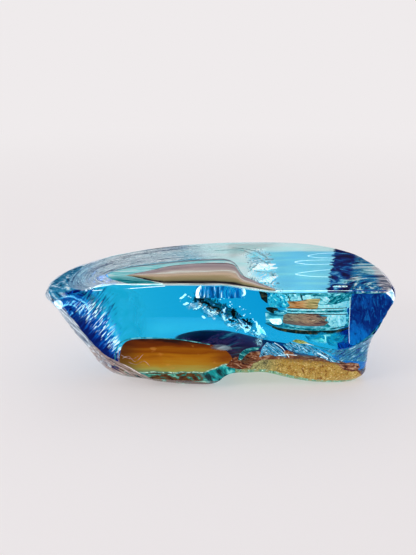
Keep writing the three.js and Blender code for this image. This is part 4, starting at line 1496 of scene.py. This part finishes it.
windowFinishes["upperLeaf"] = leafGlass("upperLeafGlass", [
    (0.36, (140, 66, 30)), (0.48, (226, 128, 70)), (0.58, (240, 146, 92)), (0.7, (252, 196, 150)),
], [
    (0.36, (124, 104, 58)), (0.48, (184, 150, 92)), (0.58, (206, 174, 116)), (0.7, (230, 206, 156)),
], {"from": 42.3, "to": 43.2, "colour": (226, 116, 50)}, 41.0)
windowFinishes["lowerLeaf"] = leafGlass("lowerLeafGlass", [
    (0.36, (84, 52, 46)), (0.46, (156, 112, 94)), (0.54, (204, 158, 122)), (0.6, (128, 100, 84)),
    (0.7, (232, 200, 166)),
], [
    (0.38, (24, 18, 34)), (0.46, (104, 80, 84)), (0.54, (170, 136, 110)), (0.6, (40, 30, 40)),
    (0.7, (206, 180, 146)),
], {"from": 33.4, "to": 36.4, "colour": (112, 78, 80)}, 47.0)

# each: name, finish, height above the drum, thickness, rounding steps, slot, CAD nodes, outline
window = [
    ("drum_wall_upper", "wall", 0.0, 0.3, 0, "clear_glass", ["drum_upper"], [
        (24.9, 49.8), (27.4, 50.6), (29.7, 50.1), (34.3, 50.2), (39.4, 50.6), (46.1, 50.6), (52.3, 50.2),
        (55.4, 50.2), (61.3, 50.2), (66.7, 46.4), (66.2, 41.4), (62.8, 41.2), (53.1, 41.4), (39.6, 41.4),
        (33.3, 41.3), (27.5, 41.3), (25.2, 43.4)]),
    ("drum_wall_lower", "lowWall", 0.0, 0.3, 0, "clear_glass", ["drum_lower"], [
        (25.2, 38.7), (29.9, 39.7), (31.8, 40.2), (39.7, 40.9), (53.1, 40.9), (62.9, 40.0), (65.0, 34.2),
        (64.7, 31.5), (58.1, 30.6), (53.6, 30.6), (46.9, 30.6), (37.1, 30.6), (26.1, 30.3)]),
    ("panel_a", "pale", 0.5, 0.3, 0, "clear_glass", [], [
        (34.7, 47.8), (39.1, 48.9), (39.8, 46.8), (35.1, 45.9)]),
    ("panel_b", "pale", 0.5, 0.3, 0, "clear_glass", [], [
        (40.1, 48.9), (48.7, 49.0), (49.8, 47.9), (47.8, 47.9), (44.5, 48.1), (40.7, 47.0)]),
    ("panel_c", "pale", 0.5, 0.3, 0, "clear_glass", [], [
        (48.9, 48.7), (52.0, 48.6), (53.8, 46.9), (51.9, 44.8), (49.9, 44.9), (48.1, 45.5), (48.5, 46.2),
        (50.6, 46.9), (49.3, 47.8)]),
    ("teal_wedge", "teal", 0.5, 0.3, 0, "teal_glass", [], [
        (53.9, 48.1), (60.9, 49.6), (65.8, 48.3), (65.9, 45.1), (61.5, 45.6), (57.3, 44.7), (53.2, 44.7),
        (54.5, 46.4)]),
    ("pale_sill", "pale", 0.5, 0.3, 0, "clear_glass", [], [
        (48.1, 44.6), (52.6, 44.3), (57.3, 44.4), (61.5, 45.3), (65.6, 44.9), (65.4, 41.8), (62.4, 41.8),
        (53.0, 42.6), (49.0, 43.1), (48.2, 43.8)]),
    ("upper_leaf_glass", "upperLeaf", 1.0, 0.4, 90, "amber_glass", ["upper_leaf"], [
        (32.6, 45.3), (35.1, 45.6), (38.0, 46.0), (41.1, 46.8), (43.3, 47.6), (47.8, 47.8), (48.8, 47.5),
        (48.4, 46.3), (47.8, 45.2), (48.0, 43.8), (46.7, 42.6), (41.6, 42.2), (37.1, 42.2), (33.3, 41.9),
        (34.2, 42.8), (34.2, 43.9), (33.2, 44.7)]),
    ("pale_right", "pale", 0.5, 0.3, 0, "clear_glass", [], [
        (53.0, 38.8), (57.6, 39.3), (62.2, 38.6), (62.8, 34.3), (61.9, 31.5), (58.0, 31.1), (54.5, 31.6),
        (54.7, 33.2), (52.9, 34.7), (53.8, 35.2), (52.6, 36.8)]),
    ("jagged_teal", "teal", 0.8, 0.3, 0, "teal_glass", [], [
        (48.5, 36.3), (51.5, 38.1), (52.9, 38.1), (52.3, 36.9), (53.7, 35.2), (52.7, 34.7), (54.5, 33.2),
        (53.8, 32.3), (50.4, 33.5), (51.7, 34.6), (51.0, 35.7)]),
    ("lower_leaf_glass", "lowerLeaf", 1.0, 0.4, 90, "amber_glass", ["lower_leaf"], [
        (31.5, 37.7), (33.7, 38.8), (39.7, 39.8), (46.5, 40.0), (50.2, 38.5), (52.6, 38.1), (51.6, 36.4),
        (53.2, 35.5), (51.7, 33.9), (49.1, 33.5), (41.9, 33.4), (36.7, 33.5), (31.3, 33.7), (30.8, 35.6)]),
]
for name, finish, raised, thickness, steps, slot, nodes, outline in window:
    dress(drumPlate(name, outline, raised, thickness, steps), windowFinishes[finish], slot, *nodes)

lineHeight = 1.3  # above the drum

# thin lines, each: name, finish, slot, thickness, width, share of the width at the ends, [x, z] points
drumLines = [
    ("line_upper", "pale", "clear_glass", 0.3, 0.7, 1.0, [
        (32.6, 41.3), (39.6, 41.9), (46.0, 42.0), (53.0, 42.1), (62.8, 41.4)]),
    ("line_dark", "teal", "teal_glass", 0.3, 0.9, 1.0, [
        (33.2, 40.5), (39.7, 41.1), (46.0, 41.2), (53.1, 41.2), (62.9, 40.5)]),
    ("line_under", "ink", "teal_glass", 0.3, 0.35, 1.0, [
        (33.0, 39.0), (39.7, 39.8), (47.1, 39.9), (53.1, 39.6), (62.8, 38.6)]),
    ("line_over", "ink", "teal_glass", 0.3, 0.3, 1.0, [
        (32.8, 41.9), (39.6, 42.5), (46.0, 42.6), (53.0, 42.7), (62.8, 42.0)]),
    ("side_dark", "teal", "teal_glass", 0.3, 0.6, 1.0, [
        (64.2, 47.0), (64.4, 42.0), (64.2, 36.0), (63.4, 31.6)]),
    ("arc_teal", "teal", "teal_glass", 0.3, 1.1, 0.4, [
        (28.2, 31.8), (37.2, 31.8), (46.9, 31.7), (53.6, 31.7), (62.0, 32.2)]),
    ("line_lower", "pale", "clear_glass", 0.3, 0.6, 1.0, [
        (33.2, 39.7), (39.7, 40.4), (47.1, 40.5), (53.1, 40.2), (62.6, 39.3)]),
    ("arc_foot", "ink", "teal_glass", 0.5, 2.0, 0.35, [
        (26.6, 29.9), (29.2, 29.9), (37.2, 30.0), (46.9, 30.0), (53.6, 29.9), (58.8, 30.1), (64.4, 30.8)]),
    ("top_line", "teal", "teal_glass", 0.3, 0.8, 0.3, [
        (28.4, 48.9), (34.3, 49.7), (39.3, 50.5), (46.7, 50.1), (52.3, 49.5)]),
    ("bar_a", "ink", "teal_glass", 0.3, 0.5, 1.0, [(33.3, 48.2), (33.9, 47.2), (34.2, 45.9)]),
    ("bar_b", "ink", "teal_glass", 0.3, 0.5, 1.0, [(39.2, 50.4), (39.6, 48.6), (40.2, 46.9)]),
]
for name, finish, slot, thickness, width, low, line in drumLines:
    plate = drumPlate(name, band(line, width, low), lineHeight, thickness)
    dress(plate, windowFinishes[finish], slot)

# each: name, finish, depth behind the front, thickness, rounding steps, slot, outline
flats = [
    ("swirl_left", "swirl", 5.0, 0.3, 60, "clear_glass", [
        (23.4, 50.0), (26.7, 51.0), (29.3, 49.8), (31.6, 48.8), (32.7, 46.0), (33.6, 44.3), (32.6, 42.5),
        (28.5, 42.5), (24.9, 42.8), (23.9, 45.9)]),
    ("ink_blob", "ink", 4.6, 0.3, 40, "teal_glass", [
        (22.8, 42.0), (25.2, 42.6), (28.5, 42.0), (28.2, 40.9), (26.9, 40.7), (26.6, 39.3), (24.0, 40.6)]),
    ("ink_wedge", "ink", 4.8, 0.3, 0, "teal_glass", [
        (18.9, 51.4), (21.8, 51.3), (23.5, 49.3), (23.7, 44.5), (22.9, 44.8), (20.6, 46.7)]),
    ("low_left", "lowWall", 5.0, 0.3, 0, "clear_glass", [
        (22.7, 40.2), (27.0, 39.3), (31.6, 40.1), (31.0, 35.1), (31.1, 32.3), (27.1, 32.2), (23.1, 33.9)]),
    # a painted highlight at the drum's lower left
    ("white_blob", "white", 4.6, 0.3, 40, "clear_glass", [
        (24.7, 35.9), (26.7, 36.4), (30.0, 36.4), (30.4, 34.0), (28.4, 33.5), (26.1, 34.0)]),
    ("arc_left", "ink", 4.6, 0.3, 0, "teal_glass", band([
        (22.6, 34.0), (25.5, 32.8), (28.8, 31.6), (31.6, 31.0)], 0.6, 0.3)),
    ("blob_low", "white", 10.0, 0.4, 60, "ice_glass", [
        (10.1, 30.6), (11.2, 31.4), (11.7, 32.4), (12.6, 31.2), (13.6, 32.2), (14.2, 30.9), (16.1, 30.4),
        (15.1, 28.1), (13.1, 26.9), (12.4, 28.4), (11.2, 29.4)]),
    ("blob_right", "white", 10.0, 0.4, 70, "ice_glass", [
        (18.9, 33.4), (19.7, 31.0), (20.4, 31.4), (21.0, 29.8), (22.3, 28.9), (23.4, 26.4), (21.4, 27.2),
        (20.0, 26.0), (18.0, 26.8), (19.3, 28.4), (18.6, 30.6)]),
    ("spark_left", "white", 10.0, 0.4, 30, "ice_glass", [
        (-11.3, 49.9), (-9.6, 51.2), (-9.4, 49.5), (-10.5, 47.6), (-9.9, 45.2), (-11.9, 45.2),
        (-12.0, 47.8)]),
    ("spark_right", "white", 10.0, 0.4, 30, "ice_glass", [
        (11.2, 49.3), (12.9, 49.7), (13.4, 47.0), (11.6, 46.0), (12.4, 47.6)]),
]
for name, finish, depth, thickness, steps, slot, outline in flats:
    dress(flatPlate(name, outline, depth, thickness, steps), windowFinishes[finish], slot)
print("window made")


# The crumpled fold and the ruffle above it, hanging 10 mm behind the front

foldDepth = 10.0
fold = {
    "upper": [
        (-14.0, 46.6), (-10.7, 47.4), (-4.7, 46.4), (-0.7, 44.6), (3.3, 42.6), (7.3, 40.2), (10.0, 38.0),
        (14.0, 35.6), (19.1, 32.6), (24.0, 30.0)],
    "lower": [
        (-14.0, 40.6), (-11.0, 39.4), (-8.0, 37.4), (-3.3, 35.4), (0.7, 33.4), (4.0, 31.8), (8.1, 30.0),
        (11.4, 28.4), (15.5, 27.0), (24.0, 24.8)],
    "steps": 150, "rows": 24, "thickness": 0.5, "sway": 1.2, "Depth": 0.9, "Size": 3.0,
}
ruffle = {
    "upper": [(-13.0, 51.2), (-5.3, 51.2), (1.3, 51.2), (7.9, 50.9), (13.9, 50.4)],
    "lower": [(-13.0, 44.9), (-5.3, 44.9), (1.3, 44.9), (7.9, 44.9), (13.9, 45.0)],
    "steps": 120, "rows": 10, "thickness": 0.4, "sway": 0.5, "Depth": 0.25, "Size": 3.0,
}


def hanging(line, sway):
    x, z = np.array(line, float).T
    return np.column_stack([x, frontY + foldDepth + sway * np.sin(x * 0.9), z])


def crumpleTree():
    tree = nodeTree("crumple", ["Depth", "Size"])
    source = treeNode(tree, "NodeGroupInput").outputs
    place = treeNode(tree, "GeometryNodeInputPosition").outputs[0]
    scale = treeMath(tree, "DIVIDE", 1.0, treeMath(tree, "MULTIPLY", source["Size"], mm))
    settings = {"Vector": place, "Scale": scale, "Detail": 2.0}
    noise = treeNode(tree, "ShaderNodeTexNoise", {"noise_dimensions": "3D"}, settings).outputs[1]
    centred = treeVector(tree, "SUBTRACT", {0: noise, 1: (0.5, 0.5, 0.5)})
    deep = treeMath(tree, "MULTIPLY", source["Depth"], 2.0 * mm)
    offset = treeVector(tree, "SCALE", {0: centred, "Scale": deep})
    sockets = {"Geometry": source["Geometry"], "Offset": offset}
    moved = treeNode(tree, "GeometryNodeSetPosition", None, sockets).outputs[0]
    return treeEnd(tree, moved, source["Finish"])


crumples = crumpleTree()


def ribbon(name, form, material, *nodes):
    lines = [hanging(lineThrough(form[edge], form["steps"]), form["sway"]) for edge in ("upper", "lower")]
    piece = newObject(name, stripMesh(name, *lines, form["rows"], (0, form["thickness"], 0)))
    grown(piece, crumples, {**form, "Finish": material})
    dress(piece, material, "clear_glass", *nodes, limit=60)


def foldGlass():
    paint = Paint("foldGlass")
    u, v, _ = paint.along("plate")
    lump = paint.grain((0.13, 0.13, 0.2), 5.0, 1.6, 0.58, turn=(0, -28, 0))
    # the palest stops are painted highlights on the crumpled lumps
    colour = paint.ramp(lump, [
        (0.43, (0, 6, 8)), (0.485, (2, 26, 32)), (0.5, (10, 120, 140)), (0.52, (0, 20, 34)),
        (0.55, (3, 84, 130)), (0.58, (1, 30, 56)), (0.61, (20, 150, 200)), (0.66, (250, 254, 254)),
    ])
    edge = (v - 0.42).away()
    ragged = edge + (paint.noise(paint.place(), 0.4, 4.0, 1.0, 0.6) - 0.5) * 1.5
    ends = u.rise(0.0, 3.0) * (1 - u.rise(40.0, 45.0))
    return inner(paint, colour, 1.0, Roughness=0.2, Alpha=(1 - ragged.rise(0.2, 0.28)) * ends)


def ruffleGlass():
    paint = Paint("ruffleGlass")
    u, v, _ = paint.along("plate")
    stripe = paint.noise(paint.joined(u * 0.62, v * 0.35, 1.0), 1.0, 3.0, 0.4, 0.6)
    colour = paint.ramp(stripe, [
        (0.36, (0, 66, 118)), (0.45, (2, 96, 168)), (0.5, (10, 140, 206)), (0.55, (0, 78, 140)),
        (0.6, (20, 150, 210)), (0.64, (210, 240, 250)),
    ])
    inside = u.rise(0.0, 3.0) * (1 - u.rise(24.0, 27.4)) * v.rise(0.0, 0.12)
    cover = ((stripe - 0.5).away().rise(0.01, 0.07) * 0.9 + 0.1) * inside
    return inner(paint, colour, 0.9, Roughness=0.2, Alpha=cover)


ribbon("crumpled_fold", fold, foldGlass(), "clear_fold")
ribbon("ruffle", ruffle, ruffleGlass())


def loopGlass():  # thin bright loops and dark ones below the fold
    paint = Paint("loopGlass")
    place = paint.place()
    x, _, z = paint.parts(place)
    field = paint.grain((0.2, 0.2, 0.24), 2.0, 1.4, turn=(0, -28, 0))
    mask = paint.noise(place, 0.17, 2.0, 0.5)
    light = (field - 0.02).contour(0.09, 0.016)
    dark = (field + 0.01).contour(0.09, 0.014)
    white = mask.rise(0.48, 0.6)
    colour = paint.mix(light, linear(2, 40, 62), linear(244, 254, 255))
    below = z - 38.6 + 0.493 * x
    near = (below + (mask - 0.5) * 12.0).band(-3.2, 2.2, 1.6)
    inside = near * x.rise(-17.5, -14.0) * (1 - x.rise(23.0, 25.0))
    return inner(paint, colour, 1.3, Roughness=0.2, Alpha=(light * white).most(dark * 0.8) * inside)


loopOutline = [(-19.0, 49.0), (28.0, 26.0), (28.0, 16.0), (-19.0, 38.0)]
dress(flatPlate("fold_loops", loopOutline, 8.6, 0.3), loopGlass(), "clear_glass")


# Beads and threads of white glass

def treeJoined(tree, x, y, z):
    return treeNode(tree, "ShaderNodeCombineXYZ", None, {0: x, 1: y, 2: z}).outputs[0]


def beadTree():
    tree = nodeTree("beads", ["Count", "Spread", "Smallest", "Largest", "Stretch", "Seed"])
    source = treeNode(tree, "NodeGroupInput").outputs
    sockets = {"Curve": source["Geometry"], "Count": source["Count"]}
    points = treeNode(tree, "GeometryNodeCurveToPoints", {"mode": "COUNT"}, sockets).outputs[0]

    def drawn(kind, ends, result):  # a random value for each bead
        sockets = {**ends, "Seed": source["Seed"]}
        return treeNode(tree, "FunctionNodeRandomValue", {"data_type": kind}, sockets).outputs[result]

    reach = treeMath(tree, "MULTIPLY", source["Spread"], mm)
    back = treeMath(tree, "MULTIPLY", reach, -1.0)
    corners = {0: treeJoined(tree, back, back, back), 1: treeJoined(tree, reach, reach, reach)}
    sockets = {"Geometry": points, "Offset": drawn("FLOAT_VECTOR", corners, 0)}
    placed = treeNode(tree, "GeometryNodeSetPosition", None, sockets).outputs[0]
    bead = treeNode(tree, "GeometryNodeMeshIcoSphere", None, {"Radius": mm, "Subdivisions": 2}).outputs[0]
    sockets = {"Geometry": bead, "Scale": treeJoined(tree, source["Stretch"], 1.0, 1.0)}
    shaped = treeNode(tree, "GeometryNodeTransform", None, sockets).outputs[0]
    size = drawn("FLOAT", {2: source["Smallest"], 3: source["Largest"]}, 1)
    turn = treeJoined(tree, 0.0, drawn("FLOAT", {2: -1.0, 3: 0.2}, 1), 0.0)
    sockets = {"Points": placed, "Instance": shaped, "Scale": size, "Rotation": turn}
    strewn = treeNode(tree, "GeometryNodeInstanceOnPoints", None, sockets).outputs[0]
    return treeEnd(tree, strewn, source["Finish"])


def threadTree():
    tree = nodeTree("threads", ["Radius"])
    source = treeNode(tree, "NodeGroupInput").outputs
    sockets = {"Resolution": 6, "Radius": treeMath(tree, "MULTIPLY", source["Radius"], mm)}
    ring = treeNode(tree, "GeometryNodeCurvePrimitiveCircle", {"mode": "RADIUS"}, sockets).outputs[0]
    sockets = {"Curve": source["Geometry"], "Profile Curve": ring, "Fill Caps": True}
    tube = treeNode(tree, "GeometryNodeCurveToMesh", None, sockets).outputs[0]
    return treeEnd(tree, tube, source["Finish"])


def curveObject(name, lines, steps=60):  # smooth lines of [x, y, z] as one curve
    curve = bpy.data.curves.new(name, "CURVE")
    curve.dimensions = "3D"
    for line in lines:
        rows = splineRows(np.array(line, float), np.linspace(0, 1, steps)) * mm
        spline = curve.splines.new("POLY")
        spline.points.add(steps - 1)
        for point, row in zip(spline.points, rows):
            point.co = (*row, 1.0)
    return newObject(name, curve)


def onFront(line, depth):  # a line of [x, z] laid under the front
    return [(x, float(frontAt(x, z, 0)) + depth, z) for x, z in line]


def onTop(line, depth):
    return [(x, y, topZ - depth) for x, y in line]


whiteThread = marbled("whiteThread", [
    (0.36, (190, 226, 234)), (0.5, (226, 244, 248)), (0.64, (252, 254, 254)),
], (0.3, 0.3, 0.3), glow=1.2)
tealThread = marbled("tealThread", [
    (0.38, (4, 70, 84)), (0.5, (30, 120, 130)), (0.62, (110, 176, 178)),
], (0.3, 0.3, 0.3))
scratchThread = marbled("scratchThread", [
    (0.4, (120, 84, 84)), (0.5, (178, 150, 156)), (0.6, (216, 206, 212)),
], (0.3, 0.3, 0.3), glow=0.6)
beads = beadTree()
threads = threadTree()

beadDepth = 9.0
strewn = {
    "fold_beads": {
        "lines": [
            [(-20, 43.5), (-14, 42.2), (-8, 39.0), (-2.0, 37.0), (5, 33.6), (12, 30.4), (21, 29.0)],
            [(-4, 43.6), (3, 41.6), (9, 38.6), (14, 35.6), (20, 31.6)]],
        "Count": 26, "Spread": 1.9, "Smallest": 0.08, "Largest": 0.36, "Stretch": 1.5, "Seed": 4,
    },
    "fold_sparks": {
        "lines": [
            [(-20.0, 42.8), (-18.6, 43.4), (-17.3, 44.6)],
            [(-18.0, 39.8), (-16.2, 40.5)],
            [(-13.3, 37.8), (-11.6, 38.0), (-10.0, 39.2), (-8.7, 41.0)],
            [(-6.0, 37.1), (-3.3, 36.0), (-1.2, 37.1)],
            [(1.7, 35.0), (3.0, 32.5), (6.4, 34.0)],
            [(-8.7, 34.4), (-7.7, 33.5)]],
        "Count": 16, "Spread": 0.2, "Smallest": 0.16, "Largest": 0.46, "Stretch": 1.5, "Seed": 9,
    },
}
for name, values in strewn.items():
    curve = curveObject(name, [onFront(line, beadDepth) for line in values["lines"]])
    dress(grown(curve, beads, {**values, "Finish": whiteThread}), whiteThread, "clear_glass", limit=80)


def layThread(name, lines, values):
    material = values["finish"]
    thread = grown(curveObject(name, lines), threads, {"Radius": values["radius"], "Finish": material})
    dress(thread, material, "clear_glass", limit=80)


laid = {
    "front_loops": {"on": onFront, "depth": 0.8, "radius": 0.13, "finish": whiteThread, "lines": [
        [(-66.1, 51.6), (-64.0, 51.8), (-60.6, 51.4), (-54.7, 51.6), (-49.8, 51.7), (-34.8, 51.7)],
        [(-66.1, 51.4), (-64.1, 50.6), (-57.7, 49.3), (-50.8, 49.6), (-43.8, 50.0), (-36.8, 50.5),
            (-27.4, 51.1)]]},
    "lobe_line": {"on": onFront, "depth": 0.35, "radius": 0.24, "finish": tealThread, "lines": [
        [(-52.6, 12.0), (-52.2, 19.0), (-50.0, 24.4), (-44.2, 26.8), (-34.8, 27.2), (-19.9, 26.4),
            (-5.0, 23.9)]]},
    "shard_lines": {"on": onFront, "depth": 0.3, "radius": 0.13, "finish": whiteThread, "lines": [
        [(39.7, 24.8), (44.2, 24.1), (50.2, 22.4)],
        [(27.0, 24.9), (31.0, 22.0), (34.5, 17.0)],
        [(29.0, 17.9), (34.0, 18.4), (38.5, 18.0)],
        [(41.0, 22.5), (47.0, 20.2), (54.0, 16.2)]]},
    "pool_line": {"on": onFront, "depth": 0.25, "radius": 0.2, "finish": tealThread, "lines": [
        [(41.6, 25.8), (47.1, 23.4), (53.1, 21.8), (59.5, 20.9), (63.3, 21.6), (68.9, 24.6),
            (74.9, 29.7), (79.4, 35.6)]]},
    "side_light": {"on": onFront, "depth": 0.4, "radius": 0.08, "finish": whiteThread, "lines": [
        [(63.2, 49.0), (63.5, 40.0), (63.6, 32.0), (64.2, 24.6)]]},
    # painted reflections: white loops where ridges mirror inside the glass under the top
    "top_loops": {"on": onTop, "depth": 0.7, "radius": 0.26, "finish": whiteThread, "lines": [
        [(67, 21.3), (56.7, 20.2), (49.5, 15.6), (54.7, 12.4), (64.5, 11.8)],
        [(63.9, 8.1), (49.6, 7.6), (41.1, 4.5), (47.7, 0.4), (60.7, 0.9)],
        [(63.1, -7.8), (49.9, -11), (39.5, -16.1), (47.4, -20), (60, -21)]]},
    "top_creases": {"on": onTop, "depth": 0.62, "radius": 0.42, "finish": tealThread, "lines": [
        [(-2.0, 26.0), (8.0, 27.4), (14.0, 25.6), (19.6, 17.0), (23.6, 7.0), (24.4, 3.0), (20.6, -0.6),
            (16.4, -8.4)],
        [(16.4, -8.4), (20.0, -12.0), (26.6, -14.6), (27.4, -19.0), (25.0, -25.8), (20.8, -33.5)],
        [(8.0, 31.0), (14.0, 30.0), (20.0, 25.0), (25.0, 16.0), (27.0, 8.0)]]},
    "lobe_edge": {"on": onFront, "depth": 0.1, "radius": 0.2, "finish": scratchThread, "lines": [
        [(-50.6, 14.6), (-50.9, 18.0), (-50.4, 21.4)]]},
    "lobe_scratches": {"on": onFront, "depth": 0.1, "radius": 0.08, "finish": scratchThread, "lines": [
        [(-49.6, 18.6), (-47.0, 17.0), (-43.6, 16.2), (-40.8, 17.8)],
        [(-48.6, 16.6), (-45.6, 17.6), (-42.4, 14.8), (-38.4, 18.6)],
        [(-46.0, 14.6), (-42.0, 13.2), (-38.0, 15.0), (-35.0, 12.0)]]},
}
for name, values in laid.items():
    layThread(name, [values["on"](line, values["depth"]) for line in values["lines"]], values)

# two lines along the front's top edge, a painted highlight and a painted shade, each span with its number
# of points
edgeLines = {
    "front_edge": {
        "span": (-66, 80, 60), "inset": 0.9, "depth": 0.3, "radius": 0.12, "finish": whiteThread,
    },
    "front_shade": {
        "span": (22, 84, 40), "inset": 0.5, "depth": 0.95, "radius": 0.24, "finish": tealThread,
    },
}
for name, values in edgeLines.items():
    z = topZ - values["depth"]
    line = [(x, float(frontEdge(x, values["inset"])), z) for x in np.linspace(*values["span"])]
    layThread(name, [line], values)
print("fold, beads and threads made")


# Navy painted shade and pale blots just under the top, outlines as [x, y]

def topPlate(name, outline, depth, thickness, steps=0):
    high = topZ - depth
    prism = prismTool(name, outline, steps, high - thickness, high, "z")
    return carve(name, prism, ("INTERSECT", core))


# centre of the arcs, and the navy's left edge
castEnd = {"x": 78.5, "y": -39.5, "edge": 60.6, "slope": 0.2, "tooth": 9.0}


def castEndGlass():  # painted shade: navy at first, then bright arcs, then mauve streaks at the outer edge
    paint = Paint("castEndGlass")
    x, y, _ = paint.parts(paint.place())
    lump = paint.grain((0.09, 0.11, 0.1), 4.0, 1.6, 0.55, turn=(0, 0, 20))
    navy = paint.ramp(lump, [
        (0.4, (0, 14, 66)), (0.48, (0, 30, 98)), (0.54, (1, 48, 120)), (0.61, (10, 104, 172)),
        (0.69, (120, 200, 226)),
    ], underTop)
    across, deep = x - castEnd["x"], y - castEnd["y"]
    reach = (across * across + deep * deep).root()
    angle = deep.math("ARCTAN2", deep, across)
    arc = paint.noise(paint.joined(reach * 0.36, angle * 1.1), 1.0, 5.0, 0.35, 0.62)
    arcs = paint.ramp(arc, [
        (0.38, (1, 30, 88)), (0.44, (4, 84, 148)), (0.49, (40, 148, 196)), (0.53, (2, 52, 108)),
        (0.57, (130, 208, 228)), (0.61, (255, 255, 255)),
    ], underTop)
    mauve = paint.ramp(arc, [
        (0.38, (70, 84, 104)), (0.46, (124, 124, 140)), (0.53, (164, 156, 164)), (0.6, (206, 204, 206)),
        (0.66, (240, 240, 240)),
    ], underTop)
    colour = paint.mix((x - y * 0.27 + (lump - 0.5) * 16.0).rise(71.5, 75.0), navy, arcs)
    colour = paint.mix((x - y * 0.08 + (lump - 0.5) * 8.0).rise(80.5, 83.5), colour, mauve)
    tooth = paint.grain((0.12, 0.36, 0.1), 3.0, 0.5)
    jag = x - y * castEnd["slope"] - castEnd["edge"] + (tooth - 0.5) * castEnd["tooth"]
    return flush(paint, colour, Roughness=0.25, Alpha=jag.rise(-0.3, 0.5) * 0.97)


navyOutline = [(48.0, 42.0), (46.0, -43.0), (84.0, -43.0), (88.0, -30.0), (88.0, 42.0)]
dress(topPlate("navy_top", navyOutline, 0.3, 0.3), castEndGlass(), "sea_glass")


def hazeGlass():  # painted light: the top's pale blue over the right half, paler still behind a line across it
    paint = Paint("hazeGlass")
    x, y, _ = paint.parts(paint.place())
    cloud = paint.grain((0.03, 0.09, 0.1), 3.0, 0.6)
    near = paint.ramp(cloud, [
        (0.35, (116, 192, 224)), (0.5, (124, 198, 228)), (0.65, (140, 206, 232)),
    ], underTop)
    far = paint.ramp(cloud, [(0.35, (192, 224, 236)), (0.65, (212, 234, 240))], underTop)
    colour = paint.mix((y + (cloud - 0.5) * 8.0).rise(21.0, 27.0), near, far)
    colour = paint.mix(1 - (x + (cloud - 0.5) * 14.0).rise(15.0, 21.0), colour, far)
    navy = (x - y * castEnd["slope"]).rise(castEnd["edge"] + 6, castEnd["edge"] + 9)
    ends = (x + y * 0.4).rise(-12.0, 6.0) * (1 - navy)
    return flush(paint, colour, 0.32, Alpha=ends * 0.85)


topLightOutline = [(-30.0, 44.0), (-6.0, -43.0), (76.0, -43.0), (80.0, 44.0)]
dress(topPlate("top_haze", topLightOutline, 0.65, 0.15), hazeGlass(), "sea_glass")


def creaseGlass():  # fine dark lines and light lines of painted highlight where the fold comes up through the top
    paint = Paint("creaseGlass")
    x, y, _ = paint.parts(paint.place())
    field = paint.grain((0.08, 0.035, 0.1), 2.0, 1.2)
    fine = paint.grain((0.12, 0.06, 0.1), 2.0, 1.0)
    dark = field.contour(0.06, 0.013) * fine.rise(0.44, 0.5)
    light = (field + 0.02).contour(0.06, 0.01)
    colour = paint.mix(dark, underTop(226, 242, 244), underTop(8, 92, 112))
    inside = (x - fine * 16.0).band(13.0, 5.0, 2.5) * (1 - y.rise(26.0, 32.0))
    return flush(paint, colour, 0.4, Roughness=0.25, Alpha=dark.most(light * 0.8) * inside)


creaseOutline = [(6.0, -43.0), (36.0, -43.0), (36.0, 40.0), (6.0, 40.0)]
dress(topPlate("top_crease", creaseOutline, 0.15, 0.12), creaseGlass(), "clear_glass")


def blotGlass():
    paint = Paint("blotGlass")
    grain = paint.grain((0.6, 0.16, 0.4), 4.0, 1.0, 0.6, turn=(0, 0, -20))
    colour = paint.ramp(grain, [
        (0.4, (70, 160, 180)), (0.46, (170, 214, 222)), (0.52, (246, 250, 250)),
    ], underTop)
    return flush(paint, colour, 0.6, Alpha=grain.rise(0.38, 0.46))


blotFinish = blotGlass()
blots = {
    "blot_a": [
        (16.4, -9.8), (19.4, -4.4), (21.6, 2.2), (25.0, 1.2), (30.6, 0.4), (28.2, -3.4), (31.2, -6.0),
        (27.0, -9.0), (24.0, -11.6), (20.6, -9.4)],
    "blot_b": [
        (19.6, -28.6), (23.0, -24.6), (24.8, -21.0), (29.6, -20.6), (27.4, -25.0), (24.6, -31.4),
        (22.4, -29.0)],
    "dash_top": [(56.0, -37.2), (62.0, -37.0), (62.4, -35.0), (56.6, -35.0)],
}
for name, outline in blots.items():
    dress(topPlate(name, outline, 0.03, 0.08, 60), blotFinish, "clear_glass")
print("top plates made")

for work in workshop:
    bpy.data.objects.remove(work)
low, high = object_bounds()
